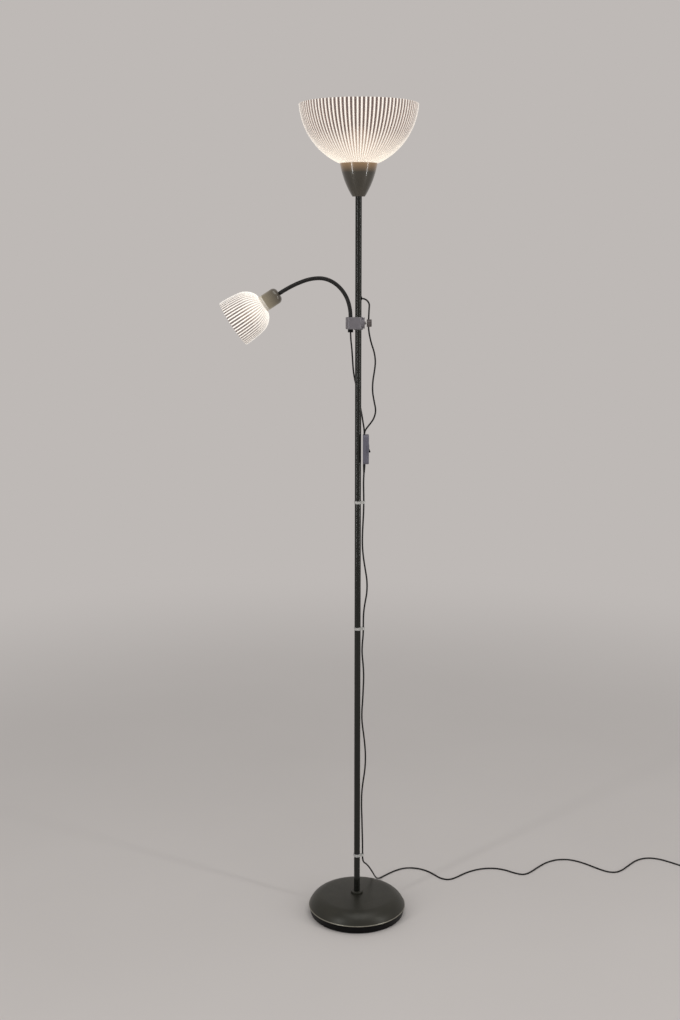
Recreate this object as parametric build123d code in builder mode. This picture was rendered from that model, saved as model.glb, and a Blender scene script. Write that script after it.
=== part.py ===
from build123d import *
import os
from math import acos, asin, cos, degrees, pi, radians, sin, sqrt, tan

os.makedirs("parts", exist_ok=True)

# A torchiere floor lamp with a reading light on a gooseneck. Millimetres, +Z up. The origin is on
# the floor at the pole's axis, and the reading light reaches out towards -X.

# ---------------------------------------------------------------- driving dimensions
lamp_height = 1800.0            # floor to the rim of the upper shade

# clearances
run_gap = 0.05                  # radial, between a piece that moves and what guides it
seat_gap = 0.03                 # radial, between two pieces that are fixed together

# base
felt_r = 104.0
felt_thick = 1.5
tray_r = 108.5
tray_wall = 2.0
tray_lip_width = 3.6            # the lip that carries the cover's rim
tray_lip_thick = 1.4
weight_thick = 20.5
weight_margin = 1.0             # around the weight, inside the tray
cover_r = 112.5
cover_rim_z = 16.0
cover_draft = 1.0               # how much the side leans in
cover_edge_z = 42.6             # where the side would meet the domed top, before rounding
cover_dome = 5.4                # how much higher the middle is than that edge
cover_shoulder_r = 14.0
cover_wall = 1.2
collar_r = 13.75
collar_height = 4.6
collar_round_r = 1.5
stud_r = 5.0
stud_grip = 30.0                # length of the stud's thick end inside the pole
stud_nut_across = 16.0
stud_nut_thick = 7.0
washer_r = 11.0
washer_thick = 1.4
recess_r = 12.0
recess_depth = 9.5

# pole
pole_r = 6.9
pole_wall = 1.2
pole_tube_count = 4
coupler_length = 44.0
coupler_wall = 2.0

# egg-cup under the upper shade
cup_height = 67.5
cup_top_r = 39.2
cup_foot_r = 13.2
cup_curve_r = 180.0
cup_foot_round_r = 3.0
cup_wall = 1.2
nipple_r = 5.0
nipple_wall = 1.5
nipple_reach = 14.0             # how far the nipple stands up above the pole
nipple_grip = 20.0              # length of its thick end inside the pole
lock_nut_across = 15.0
lock_nut_thick = 4.0

# upper lamp holder and its bulb
holder_foot_r = 12.0
holder_foot_height = 14.0
holder_body_r = 19.0
holder_flange_r = 25.0
holder_flange_thick = 2.0
holder_sleeve_r = 19.8
holder_sleeve_height = 12.0
holder_bore_depth = 34.0
shade_ring_r = 27.0
shade_ring_thick = 5.0
bulb_cap_r = 13.2
bulb_cap_length = 26.0
bulb_neck_r = 12.6
bulb_glass_r = 29.0
bulb_glass_rise = 33.0          # from the end of the cap to the middle of the glass
bulb_stand = 1.0                # how far a bulb's cap stands out of its holder
neck_angle = 40.0               # where a bulb's neck meets its round glass, below its middle

# upper shade: a bowl whose side is one arc, with ribs outside
bowl_foot_r = 40.0
bowl_rim_r = 124.5
bowl_height = 119.5
bowl_curve_r = 225.0
bowl_wall = 2.2
bowl_floor = 2.6
rib_height = 1.3
rib_width = 2.6
bowl_rib_count = 90

# lead and what holds it
lead_r = 1.8
exit_z = 1403.0                 # where the lead leaves the pole
grommet_r = 4.0
grommet_barrel_r = 3.0
grommet_lip = 1.0
clip_heights = (140.0, 678.0, 963.0)
clip_height = 6.0
clip_wall = 1.2
clip_lead_x = 12.8              # the lead's place beside the pole, in the clips

# clamp of the reading arm
clamp_z = 1338.0                # underside of the clamp's body
clamp_height = 25.5
clamp_round_r = 10.5
clamp_edge_r = 1.5
arm_x = 16.6                    # from the pole's axis to the gooseneck's
liner_wall = 0.8
liner_flange_r = 9.6
liner_flange_thick = 1.2
liner_play = 0.1                # between the liner's flange and the clamp's underside
screw_z = 1350.75
screw_r = 1.95
screw_pitch = 0.7
screw_turns = 2.0
pad_r = 3.0
pad_thick = 1.6
boss_r = 9.0                    # root of the flare that carries the flange
flare_r = 10.8
flange_r = 12.0
flange_x = 13.6                 # outer face of the round flange that the screw goes in at
flange_thick = 2.2
dish_depth = 1.0
insert_r = 3.4
insert_stand = 2.0              # how far the insert stands out of the flange
knob_x = 18.0
knob_length = 10.5
knob_r = 8.0
knob_flute_r = 2.0
knob_flute_count = 8
knob_round_r = 1.0
knob_cap = 3.0                  # left solid outside the end of the screw
arm_nut_across = 10.0
arm_nut_thick = 6.7
arm_tail_r = 3.6

# gooseneck: links whose middle lines are arcs, so that the whole neck is one flowing curve
neck_r = 4.3
neck_link_length = 29.78
neck_turns = (16.0, 22.0, 24.0, 30.0, 17.0, 8.0, 6.0)
neck_bore_r = 2.0
socket_setback = 2.0            # from a ball's middle back to the rim of the socket it turns in

# reading light, measured along its own axis from where the gooseneck enters the cap
cap_r = 17.5
cap_length = 35.0
cap_round_r = 11.0
cap_wall = 1.0
head_nut_across = 11.0
head_nut_thick = 3.5
head_tail_length = 8.0
head_holder_r = 14.0
head_holder_start = 9.5
head_flange_thick = 6.2
head_bore_r = 8.2
head_bore_depth = 26.0
head_sleeve_height = 9.0
head_ring_r = 17.6
head_ring_thick = 4.0
head_foot_r = 24.0
head_rim_r = 52.0
head_shade_depth = 76.8
head_long_curve_r = 260.0       # curve of the shade's side near the rim
head_long_share = 46.0          # how far back from the rim that curve runs
head_short_curve_r = 40.4       # curve of the shade's shoulder
head_wall = 1.8
head_floor = 2.0
head_rib_height = 1.1
head_rib_width = 2.2
head_rib_count = 48
head_bulb_cap_r = 7.9
head_bulb_cap_length = 20.0
head_bulb_neck_r = 7.4
head_bulb_r = 19.0
head_bulb_rise = 27.0

# in-line switch, hanging upright on the leads beside the pole
switch_x = 10.5                 # its face beside the pole
switch_z = 1048.0
switch_length = 64.0
switch_width = 25.0
switch_base_thick = 6.0
switch_cover_thick = 7.0
switch_wall = 1.6
switch_corner_r = 6.0
switch_edge_r = 1.5
switch_lead_x = 13.6
switch_lead_y = 3.6             # the two upper leads lie this far each side of the middle
rocker_z = 1081.0
rocker_r = 8.3
rocker_width = 10.0
rocker_sink = 1.5               # from the cover's face down to the pivot
rocker_proud = 0.8
rocker_throw = 24.0
rocker_under = 3.5              # from the pivot to the rocker's underside
rocker_gap = 0.15
pivot_pin_r = 1.0
pivot_boss = 2.6
grip_length = 16.0              # the shallow finger recess in each side of the cover
grip_width = 3.0
grip_depth = 0.8
grip_setback = 2.3              # from the seam to the recess's middle

# coil of the lead's far end, and the plug
coil_r = 18.0
coil_thick = 7.2
coil_tail = 30.0
floor_gap = 0.05                # the lead's solids lie this much above the floor
plug_length = 34.0
plug_width = 35.0
plug_thick = 13.6
plug_nose = 22.0                # width of the end that holds the pins
plug_edge = 1.6
plug_sleeve_length = 22.0
plug_sleeve_r = 3.4
sleeve_flare = 1.4              # how much wider the sleeve is at the plug
pin_r = 2.0
pin_length = 19.0
pin_spacing = 16.0
pin_grip = 6.0

# ---------------------------------------------------------------- values that follow from them
weight_z = felt_thick + tray_wall
pole_foot_z = weight_z + weight_thick
cup_rim_z = lamp_height - bowl_height
pole_top_z = cup_rim_z - cup_height
pole_bore_r = pole_r - pole_wall
pole_tube_length = (pole_top_z - pole_foot_z) / pole_tube_count
pole_fit_r = pole_bore_r - seat_gap
cover_top_z = cover_edge_z + cover_dome
liner_r = pole_r + run_gap + liner_wall
clamp_bore_r = liner_r + run_gap
clamp_top_z = clamp_z + clamp_height
screw_travel = screw_pitch * screw_turns
bowl_floor_z = cup_rim_z + bowl_floor
holder_z = pole_top_z + cup_wall + lock_nut_thick
bulb_seat_z = cup_rim_z + holder_sleeve_height + bulb_stand
bulb_cap_z = bulb_seat_z - bulb_cap_length


def export(piece, name):
    """Label a finished piece and write its file."""
    piece.part.label = name
    export_step(piece.part, f"parts/{name}.step")


def arc_centre(low, high, radius):
    """Centre of the arc from low to high that bulges outwards and down."""
    along = Vector(*high) - Vector(*low)
    inward = Vector(-along.Y, along.X).normalized()
    return (Vector(*low) + Vector(*high)) / 2 + inward * sqrt(radius**2 - along.length**2 / 4)


def side_arc(centre, radius, low, high):
    """The stretch of an outward bulging arc between two heights, drawn upwards."""
    first = degrees(asin((low - centre.Y) / radius))
    last = degrees(asin((high - centre.Y) / radius))
    return CenterArc((centre.X, centre.Y), radius, first, last - first)


# ---------------------------------------------------------------- base
with BuildPart() as base_felt:
    Cylinder(felt_r, felt_thick, align=(Align.CENTER, Align.CENTER, Align.MIN))
export(base_felt, "base_felt")

with BuildPart() as base_tray:
    with BuildSketch(Plane.XY.offset(felt_thick)):
        Circle(tray_r)
    extrude(amount=cover_rim_z - felt_thick)
    with BuildSketch(Plane.XY.offset(cover_rim_z - tray_lip_thick)):
        Circle(tray_r + tray_lip_width)
    extrude(amount=tray_lip_thick)
    with BuildSketch(Plane.XY.offset(weight_z)):
        Circle(tray_r - tray_wall)
    extrude(amount=cover_rim_z - weight_z, mode=Mode.SUBTRACT)
export(base_tray, "base_tray")

with BuildPart() as base_weight:
    with BuildSketch(Plane.XY.offset(weight_z)):
        Circle(tray_r - tray_wall - weight_margin)
        Circle(stud_r + seat_gap, mode=Mode.SUBTRACT)
    extrude(amount=weight_thick)
    with BuildSketch(Plane.XY.offset(weight_z)):
        Circle(recess_r)
    extrude(amount=recess_depth, mode=Mode.SUBTRACT)
export(base_weight, "base_weight")

with BuildPart() as base_washer:
    with BuildSketch(Plane.XY.offset(weight_z + recess_depth - washer_thick)):
        Circle(washer_r)
        Circle(stud_r + seat_gap, mode=Mode.SUBTRACT)
    extrude(amount=washer_thick)
export(base_washer, "base_washer")

with BuildPart() as base_nut:
    with BuildSketch(Plane.XY.offset(weight_z + recess_depth - washer_thick - stud_nut_thick)):
        RegularPolygon(stud_nut_across / 2, 6, major_radius=False)
        Circle(stud_r + seat_gap, mode=Mode.SUBTRACT)
    extrude(amount=stud_nut_thick)
export(base_nut, "base_nut")

# the stud has a thick upper end that the pole's lowest tube is fixed on
stud_foot_z = weight_z + recess_depth - washer_thick - stud_nut_thick
with BuildPart() as base_stud:
    with BuildSketch(Plane.XY.offset(stud_foot_z)):
        Circle(stud_r)
    extrude(amount=pole_foot_z - stud_foot_z)
    with BuildSketch(Plane.XY.offset(pole_foot_z)):
        Circle(pole_fit_r)
    extrude(amount=stud_grip)
export(base_stud, "base_stud")

with BuildPart() as base_cover:
    with BuildSketch(Plane.XZ) as cover_outline:
        edge_r = cover_r - cover_draft
        dome_r = (edge_r**2 + cover_dome**2) / (2 * cover_dome)
        dome_angle = degrees(asin(edge_r / dome_r))
        with BuildLine():
            Polyline((0, cover_top_z), (0, cover_rim_z), (cover_r, cover_rim_z), (edge_r, cover_edge_z))
            CenterArc((0, cover_top_z - dome_r), dome_r, 90 - dome_angle, dome_angle)
        make_face()
        shoulder = cover_outline.vertices().sort_by_distance((edge_r, cover_edge_z))[0]
        fillet(shoulder, cover_shoulder_r)
    revolve(axis=Axis.Z)
    underside = base_cover.faces().filter_by(GeomType.PLANE).sort_by(Axis.Z)[0]
    offset(amount=-cover_wall, openings=underside)
    with BuildSketch(Plane.XY.offset(cover_rim_z)):
        Circle(pole_r + seat_gap)
    extrude(amount=cover_top_z, mode=Mode.SUBTRACT)
export(base_cover, "base_cover")

with BuildPart() as base_collar:
    with BuildSketch(Plane.XY.offset(cover_top_z)):
        Circle(collar_r)
    extrude(amount=collar_height)
    fillet(base_collar.edges().sort_by(Axis.Z)[-1], collar_round_r)
    with BuildSketch(Plane.XY.offset(cover_top_z)):
        Circle(pole_r + seat_gap)
    extrude(amount=collar_height, mode=Mode.SUBTRACT)
export(base_collar, "base_collar")

# ---------------------------------------------------------------- pole
for index in range(pole_tube_count):
    tube_z = pole_foot_z + index * pole_tube_length
    with BuildPart() as pole_tube:
        with BuildSketch(Plane.XY.offset(tube_z)):
            Circle(pole_r)
            Circle(pole_bore_r, mode=Mode.SUBTRACT)
        extrude(amount=pole_tube_length)
        if tube_z < exit_z < tube_z + pole_tube_length:
            with BuildSketch(Plane.YZ):
                with Locations((0, exit_z)):
                    Circle(grommet_barrel_r + seat_gap)
            extrude(amount=2 * pole_r, mode=Mode.SUBTRACT)
    export(pole_tube, f"pole_tube_{index + 1}")

for index in range(1, pole_tube_count):
    seam_z = pole_foot_z + index * pole_tube_length
    with BuildPart() as pole_coupler:
        with BuildSketch(Plane.XY.offset(seam_z - coupler_length / 2)):
            Circle(pole_fit_r)
            Circle(pole_fit_r - coupler_wall, mode=Mode.SUBTRACT)
        extrude(amount=coupler_length)
    export(pole_coupler, f"pole_coupler_{index}")

with BuildPart() as pole_grommet:
    with BuildSketch(Plane.YZ.offset(pole_bore_r - grommet_lip)):
        with Locations((0, exit_z)):
            Circle(grommet_barrel_r)
    extrude(amount=pole_r - pole_bore_r + 2 * grommet_lip)
    with BuildSketch(Plane.YZ.offset(pole_r)):
        with Locations((0, exit_z)):
            Circle(grommet_r)
    extrude(amount=grommet_lip)
    with BuildSketch(Plane.YZ):
        with Locations((0, exit_z)):
            Circle(lead_r + seat_gap)
    extrude(amount=2 * pole_r, mode=Mode.SUBTRACT)
export(pole_grommet, "pole_grommet")

# each clip is a ring round the pole with a smaller ring for the lead
lead_ring_r = lead_r + seat_gap + clip_wall
for number, clip_z in enumerate(clip_heights, start=1):
    with BuildPart() as lead_clip:
        with BuildSketch(Plane.XY.offset(clip_z - clip_height / 2)):
            Circle(pole_r + clip_wall)
            with Locations((clip_lead_x, 0)):
                Circle(lead_ring_r)
            with Locations((clip_lead_x / 2, 0)):
                Rectangle(clip_lead_x, 2 * lead_r)
            Circle(pole_r + seat_gap, mode=Mode.SUBTRACT)
            with Locations((clip_lead_x, 0)):
                Circle(lead_r + seat_gap, mode=Mode.SUBTRACT)
        extrude(amount=clip_height)
    export(lead_clip, f"lead_clip_{number}")

# ---------------------------------------------------------------- upper light
with BuildPart() as top_nipple:
    with BuildSketch(Plane.XY.offset(pole_top_z - nipple_grip)):
        Circle(pole_fit_r)
    extrude(amount=nipple_grip)
    with BuildSketch(Plane.XY.offset(pole_top_z)):
        Circle(nipple_r)
    extrude(amount=nipple_reach)
    with BuildSketch(Plane.XY.offset(pole_top_z - nipple_grip)):
        Circle(nipple_r - nipple_wall)
    extrude(amount=nipple_grip + nipple_reach, mode=Mode.SUBTRACT)
export(top_nipple, "top_nipple")

cup_centre = arc_centre((cup_foot_r, pole_top_z), (cup_top_r, cup_rim_z), cup_curve_r)
with BuildPart() as top_cup:
    with BuildSketch(Plane.XZ):
        with BuildLine():
            outside = side_arc(cup_centre, cup_curve_r, pole_top_z, cup_rim_z)
            inside = side_arc(cup_centre, cup_curve_r - cup_wall, pole_top_z + cup_wall, cup_rim_z)
            Line(outside @ 1, inside @ 1)
            Polyline(
                inside @ 0,
                (nipple_r + seat_gap, pole_top_z + cup_wall),
                (nipple_r + seat_gap, pole_top_z),
                outside @ 0,
            )
        make_face()
    revolve(axis=Axis.Z)
    foot_edge = top_cup.edges().group_by(Axis.Z)[0].sort_by(SortBy.RADIUS)[-1]
    fillet(foot_edge, min(cup_foot_round_r, 0.9 * cup_wall))
export(top_cup, "top_cup")

with BuildPart() as top_lock_nut:
    with BuildSketch(Plane.XY.offset(pole_top_z + cup_wall)):
        RegularPolygon(lock_nut_across / 2, 6, major_radius=False)
        Circle(nipple_r + seat_gap, mode=Mode.SUBTRACT)
    extrude(amount=lock_nut_thick)
export(top_lock_nut, "top_lock_nut")

with BuildPart() as top_holder:
    with BuildSketch(Plane.XY.offset(holder_z)):
        Circle(holder_foot_r)
    extrude(amount=holder_foot_height)
    with BuildSketch(Plane.XY.offset(holder_z + holder_foot_height)):
        Circle(holder_body_r)
    extrude(amount=cup_rim_z - holder_z - holder_foot_height)
    with BuildSketch(Plane.XY.offset(cup_rim_z - holder_flange_thick)):
        Circle(holder_flange_r)
    extrude(amount=holder_flange_thick)
    with BuildSketch(Plane.XY.offset(cup_rim_z)):
        Circle(holder_sleeve_r)
    extrude(amount=holder_sleeve_height)
    with BuildSketch(Plane.XY.offset(cup_rim_z + holder_sleeve_height)):
        Circle(bulb_cap_r + 4 * run_gap)
    extrude(amount=-holder_bore_depth, mode=Mode.SUBTRACT)
    with BuildSketch(Plane.XY.offset(holder_z)):
        Circle(nipple_r + seat_gap)
    extrude(amount=nipple_reach, mode=Mode.SUBTRACT)
export(top_holder, "top_holder")

with BuildPart() as top_shade_ring:
    with BuildSketch(Plane.XY.offset(bowl_floor_z)):
        Circle(shade_ring_r)
        Circle(holder_sleeve_r + seat_gap, mode=Mode.SUBTRACT)
    extrude(amount=shade_ring_thick)
export(top_shade_ring, "top_shade_ring")

bowl_centre = arc_centre((bowl_foot_r, cup_rim_z), (bowl_rim_r, lamp_height), bowl_curve_r)
with BuildPart() as bowl_rib:
    with BuildSketch(Plane.XZ):
        with BuildLine():
            crest = side_arc(bowl_centre, bowl_curve_r, cup_rim_z, lamp_height)
            root = side_arc(bowl_centre, bowl_curve_r - rib_height - bowl_wall / 2, cup_rim_z, lamp_height)
            Line(crest @ 0, root @ 0)
            Line(crest @ 1, root @ 1)
        make_face()
    extrude(amount=rib_width / 2, both=True)

with BuildPart() as top_shade:
    with BuildSketch(Plane.XZ):
        with BuildLine():
            outside = side_arc(bowl_centre, bowl_curve_r - rib_height, cup_rim_z, lamp_height)
            inside = side_arc(
                bowl_centre, bowl_curve_r - rib_height - bowl_wall, bowl_floor_z, lamp_height
            )
            Line(outside @ 1, inside @ 1)
            Polyline(
                inside @ 0,
                (holder_sleeve_r + seat_gap, bowl_floor_z),
                (holder_sleeve_r + seat_gap, cup_rim_z),
                outside @ 0,
            )
        make_face()
    revolve(axis=Axis.Z)
    with PolarLocations(0, bowl_rib_count):
        add(bowl_rib.part)
export(top_shade, "top_shade")

with BuildPart() as top_bulb_cap:
    with BuildSketch(Plane.XY.offset(bulb_cap_z)):
        Circle(bulb_cap_r)
    extrude(amount=bulb_cap_length)
export(top_bulb_cap, "top_bulb_cap")


def draw_bulb(seat, neck_radius, glass_radius, rise):
    """Half the outline of a bulb's glass, from its neck at the height of seat."""
    middle = seat + rise
    join = Vector(glass_radius * cos(radians(neck_angle)), middle - glass_radius * sin(radians(neck_angle)))
    Polyline((0, middle + glass_radius), (0, seat), (neck_radius, seat), (join.X, join.Y))
    CenterArc((0, middle), glass_radius, -neck_angle, 90 + neck_angle)


with BuildPart() as top_bulb_glass:
    with BuildSketch(Plane.XZ):
        with BuildLine():
            draw_bulb(bulb_seat_z, bulb_neck_r, bulb_glass_r, bulb_glass_rise)
        make_face()
    revolve(axis=Axis.Z)
export(top_bulb_glass, "top_bulb_glass")

# ---------------------------------------------------------------- clamp of the reading arm
with BuildPart() as clamp_liner:
    with BuildSketch(Plane.XY.offset(clamp_z - liner_play)):
        Circle(liner_r)
    extrude(amount=clamp_height + liner_play)
    with BuildSketch(Plane.XY.offset(clamp_z - liner_play)):
        Circle(liner_flange_r)
    extrude(amount=-liner_flange_thick)
    with BuildSketch(Plane.XY.offset(clamp_top_z)):
        Circle(pole_r + run_gap)
    extrude(amount=-clamp_height - liner_play - liner_flange_thick, mode=Mode.SUBTRACT)
export(clamp_liner, "clamp_liner")

pad_x = clamp_bore_r
pocket_x = pad_x + pad_thick + screw_travel + run_gap
with BuildPart() as clamp_body:
    with BuildSketch(Plane.XY.offset(clamp_z)):
        with Locations((-arm_x / 2, 0)):
            SlotCenterToCenter(arm_x, 2 * clamp_round_r)
    extrude(amount=clamp_height)
    fillet(clamp_body.edges().group_by(Axis.Z)[0], clamp_edge_r)
    fillet(clamp_body.edges().group_by(Axis.Z)[-1], clamp_edge_r)
    with BuildSketch(Plane.YZ):
        with Locations((0, screw_z)):
            Circle(boss_r)
    with BuildSketch(Plane.YZ.offset(flange_x - flange_thick)):
        with Locations((0, screw_z)):
            Circle(flare_r)
    loft()
    with BuildSketch(Plane.YZ.offset(flange_x - flange_thick)):
        with Locations((0, screw_z)):
            Circle(flange_r)
    extrude(amount=flange_thick)
    with BuildSketch(Plane.YZ.offset(flange_x - dish_depth)):
        with Locations((0, screw_z)):
            Circle(flange_r - flange_thick)
    extrude(amount=dish_depth, mode=Mode.SUBTRACT)
    with BuildSketch(Plane.YZ):
        with Locations((0, screw_z)):
            Circle(insert_r)
    extrude(amount=flange_x, mode=Mode.SUBTRACT)
    with BuildSketch(Plane.XY.offset(clamp_z)):
        Circle(clamp_bore_r)
        with Locations((-arm_x, 0)):
            Circle(arm_tail_r + seat_gap)
    extrude(amount=clamp_height, mode=Mode.SUBTRACT)
export(clamp_body, "clamp_body")

with BuildPart() as clamp_insert:
    with BuildSketch(Plane.YZ.offset(pocket_x)):
        with Locations((0, screw_z)):
            Circle(insert_r - seat_gap)
            Circle(screw_r + run_gap, mode=Mode.SUBTRACT)
    extrude(amount=flange_x + insert_stand - pocket_x)
export(clamp_insert, "clamp_insert")

# the pad's face is hollow, to fit the liner that it presses on
with BuildPart() as clamp_pad:
    with BuildSketch(Plane.YZ):
        with Locations((0, screw_z)):
            Circle(pad_r)
    extrude(amount=pad_x + pad_thick)
    with BuildSketch(Plane.XY.offset(clamp_z)):
        Circle(clamp_bore_r)
    extrude(amount=clamp_height, mode=Mode.SUBTRACT)
export(clamp_pad, "clamp_pad")

screw_x = pad_x + pad_thick + run_gap
with BuildPart() as clamp_screw:
    with BuildSketch(Plane.YZ.offset(screw_x)):
        with Locations((0, screw_z)):
            Circle(screw_r)
    extrude(amount=knob_x + knob_length - knob_cap - screw_x)
export(clamp_screw, "clamp_screw")

with BuildPart() as clamp_knob:
    with BuildSketch(Plane.YZ.offset(knob_x)):
        with Locations((0, screw_z)):
            Circle(knob_r)
            with PolarLocations(knob_r + knob_flute_r / 2, knob_flute_count):
                Circle(knob_flute_r, mode=Mode.SUBTRACT)
    extrude(amount=knob_length)
    fillet(clamp_knob.edges().group_by(Axis.X)[-1], knob_round_r)
    with BuildSketch(Plane.YZ.offset(knob_x)):
        with Locations((0, screw_z)):
            Circle(screw_r + seat_gap)
    extrude(amount=knob_length - knob_cap, mode=Mode.SUBTRACT)
export(clamp_knob, "clamp_knob")

with BuildPart() as clamp_nut:
    with BuildSketch(Plane.XY.offset(clamp_z)):
        with Locations((-arm_x, 0)):
            RegularPolygon(arm_nut_across / 2, 6, major_radius=False)
            Circle(arm_tail_r + seat_gap, mode=Mode.SUBTRACT)
    extrude(amount=-arm_nut_thick)
export(clamp_nut, "clamp_nut")

# ---------------------------------------------------------------- gooseneck
# The links' ends, as planes square to the neck. A ball at the start of each link but the first
# sits in the socket of the link before, and its middle is the joint between the two.
neck_planes = []
heading = 90.0
place = Vector(-arm_x, 0, clamp_top_z)
for turn in (*neck_turns, 0.0):
    ahead = Vector(cos(radians(heading)), 0, sin(radians(heading)))
    neck_planes.append(Plane(origin=place, x_dir=(0, 1, 0), z_dir=ahead))
    if turn:
        chord = 2 * neck_link_length / radians(turn) * sin(radians(turn / 2))
        middle_heading = radians(heading + turn / 2)
        place = place + Vector(cos(middle_heading), 0, sin(middle_heading)) * chord
        heading = heading + turn

head_origin = neck_planes[-1].origin
head_ahead = neck_planes[-1].z_dir
head_section = Plane(origin=head_origin, x_dir=head_ahead.cross(Vector(0, 1, 0)), z_dir=(0, 1, 0))
head_axis = Axis(head_origin, head_ahead)


def head_plane(distance):
    """A plane square to the reading light's axis."""
    return neck_planes[-1].offset(distance)


def neck_section(square_plane):
    """The plane along the neck through the middle of a square one, with +Y ahead."""
    across = square_plane.z_dir.cross(Vector(0, 1, 0))
    return Plane(origin=square_plane.origin, x_dir=across, z_dir=(0, 1, 0))


for index, turn in enumerate(neck_turns):
    start_plane = neck_planes[index]
    end_plane = neck_planes[index + 1]
    first = index == 0
    last = index == len(neck_turns) - 1
    setback = 0 if last else socket_setback
    with BuildPart() as neck_link:
        with BuildLine(Plane.XZ) as neck_line:
            JernArc(
                start=(start_plane.origin.X, start_plane.origin.Z),
                tangent=(start_plane.z_dir.X, start_plane.z_dir.Z),
                radius=neck_link_length / radians(turn),
                arc_size=turn * (1 - setback / neck_link_length),
            )
        with BuildSketch(start_plane):
            Circle(neck_r)
            Circle(neck_bore_r, mode=Mode.SUBTRACT)
        sweep()
        if first:
            with BuildSketch(start_plane):
                Circle(arm_tail_r)
                Circle(neck_bore_r, mode=Mode.SUBTRACT)
            extrude(amount=-clamp_height - arm_nut_thick)
        else:
            with BuildSketch(neck_section(start_plane)):
                with BuildLine():
                    ball = CenterArc((0, 0), neck_r, 0, -degrees(acos(neck_bore_r / neck_r)))
                    Polyline(ball @ 0, (neck_bore_r, 0), ball @ 1)
                make_face()
            revolve(axis=Axis(start_plane.origin, start_plane.z_dir))
        if last:
            with BuildSketch(end_plane):
                Circle(arm_tail_r)
                Circle(neck_bore_r, mode=Mode.SUBTRACT)
            extrude(amount=head_tail_length)
        else:
            with BuildSketch(neck_section(end_plane)):
                with BuildLine():
                    socket = CenterArc((0, 0), neck_r + run_gap, 0, -90)
                    Polyline(socket @ 0, (0, 0), socket @ 1)
                make_face()
            revolve(axis=Axis(end_plane.origin, end_plane.z_dir), mode=Mode.SUBTRACT)
    export(neck_link, f"gooseneck_{index + 1}")

# ---------------------------------------------------------------- reading light
with BuildPart() as head_cap:
    with BuildSketch(head_plane(0)):
        Circle(cap_r)
    extrude(amount=cap_length)
    closed_end = head_cap.faces().filter_by(GeomType.PLANE).sort_by(head_axis)[0]
    fillet(closed_end.edges(), cap_round_r)
    open_end = head_cap.faces().filter_by(GeomType.PLANE).sort_by(head_axis)[-1]
    offset(amount=-cap_wall, openings=open_end)
    with BuildSketch(head_plane(0)):
        Circle(arm_tail_r + seat_gap)
    extrude(amount=cap_length, mode=Mode.SUBTRACT)
export(head_cap, "head_cap")

with BuildPart() as head_nut:
    with BuildSketch(head_plane(cap_wall)):
        RegularPolygon(head_nut_across / 2, 6, major_radius=False)
        Circle(arm_tail_r + seat_gap, mode=Mode.SUBTRACT)
    extrude(amount=head_nut_thick)
export(head_nut, "head_nut")

head_floor_start = cap_length + head_flange_thick
with BuildPart() as head_holder:
    with BuildSketch(head_plane(head_holder_start)):
        Circle(head_holder_r)
    extrude(amount=head_floor_start + head_sleeve_height - head_holder_start)
    with BuildSketch(head_plane(cap_length)):
        Circle(cap_r)
    extrude(amount=head_flange_thick)
    with BuildSketch(head_plane(head_floor_start + head_sleeve_height)):
        Circle(head_bore_r)
    extrude(amount=-head_bore_depth, mode=Mode.SUBTRACT)
export(head_holder, "head_holder")

with BuildPart() as head_shade_ring:
    with BuildSketch(head_plane(head_floor_start + head_floor)):
        Circle(head_ring_r)
        Circle(head_holder_r + seat_gap, mode=Mode.SUBTRACT)
    extrude(amount=head_ring_thick)
export(head_shade_ring, "head_shade_ring")

# the side of this shade is a long arc from the rim and a short one round the shoulder
head_rim_start = head_floor_start + head_shade_depth
long_centre = Vector(head_rim_r - head_long_curve_r, head_rim_start)
join_angle = asin(head_long_share / head_long_curve_r)
join_outward = Vector(cos(join_angle), -sin(join_angle))
short_centre = long_centre + join_outward * (head_long_curve_r - head_short_curve_r)


def head_side(inset, low):
    """The side of the reading light's shade, set in from the outside, from low to the rim."""
    short_radius = head_short_curve_r - inset
    first = degrees(asin((low - short_centre.Y) / short_radius))
    shoulder_arc = CenterArc(
        (short_centre.X, short_centre.Y), short_radius, first, -degrees(join_angle) - first
    )
    rim_arc = CenterArc(
        (long_centre.X, long_centre.Y), head_long_curve_r - inset, -degrees(join_angle), degrees(join_angle)
    )
    return shoulder_arc @ 0, rim_arc @ 1


with BuildPart() as head_rib:
    with BuildSketch(head_section):
        with BuildLine():
            crest_foot, crest_rim = head_side(0, head_floor_start)
            root_foot, root_rim = head_side(
                head_rib_height + head_wall / 2, head_floor_start + head_floor / 2
            )
            Line(crest_foot, root_foot)
            Line(crest_rim, root_rim)
        make_face()
    extrude(amount=head_rib_width / 2, both=True)

with BuildPart() as head_shade:
    with BuildSketch(head_section):
        with BuildLine():
            outer_foot, outer_rim = head_side(head_rib_height, head_floor_start)
            inner_foot, inner_rim = head_side(head_rib_height + head_wall, head_floor_start + head_floor)
            Line(outer_rim, inner_rim)
            Polyline(
                inner_foot,
                (head_holder_r + seat_gap, head_floor_start + head_floor),
                (head_holder_r + seat_gap, head_floor_start),
                outer_foot,
            )
        make_face()
    revolve(axis=head_axis)
    for index in range(head_rib_count):
        add(head_rib.part.rotate(head_axis, index * 360 / head_rib_count))
export(head_shade, "head_shade")

head_bulb_seat = head_floor_start + head_sleeve_height + bulb_stand
with BuildPart() as head_bulb_cap:
    with BuildSketch(head_plane(head_bulb_seat)):
        Circle(head_bulb_cap_r)
    extrude(amount=-head_bulb_cap_length)
export(head_bulb_cap, "head_bulb_cap")

with BuildPart() as head_bulb_glass:
    with BuildSketch(head_section):
        with BuildLine():
            draw_bulb(head_bulb_seat, head_bulb_neck_r, head_bulb_r, head_bulb_rise)
        make_face()
    revolve(axis=head_axis)
export(head_bulb_glass, "head_bulb_glass")

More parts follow.
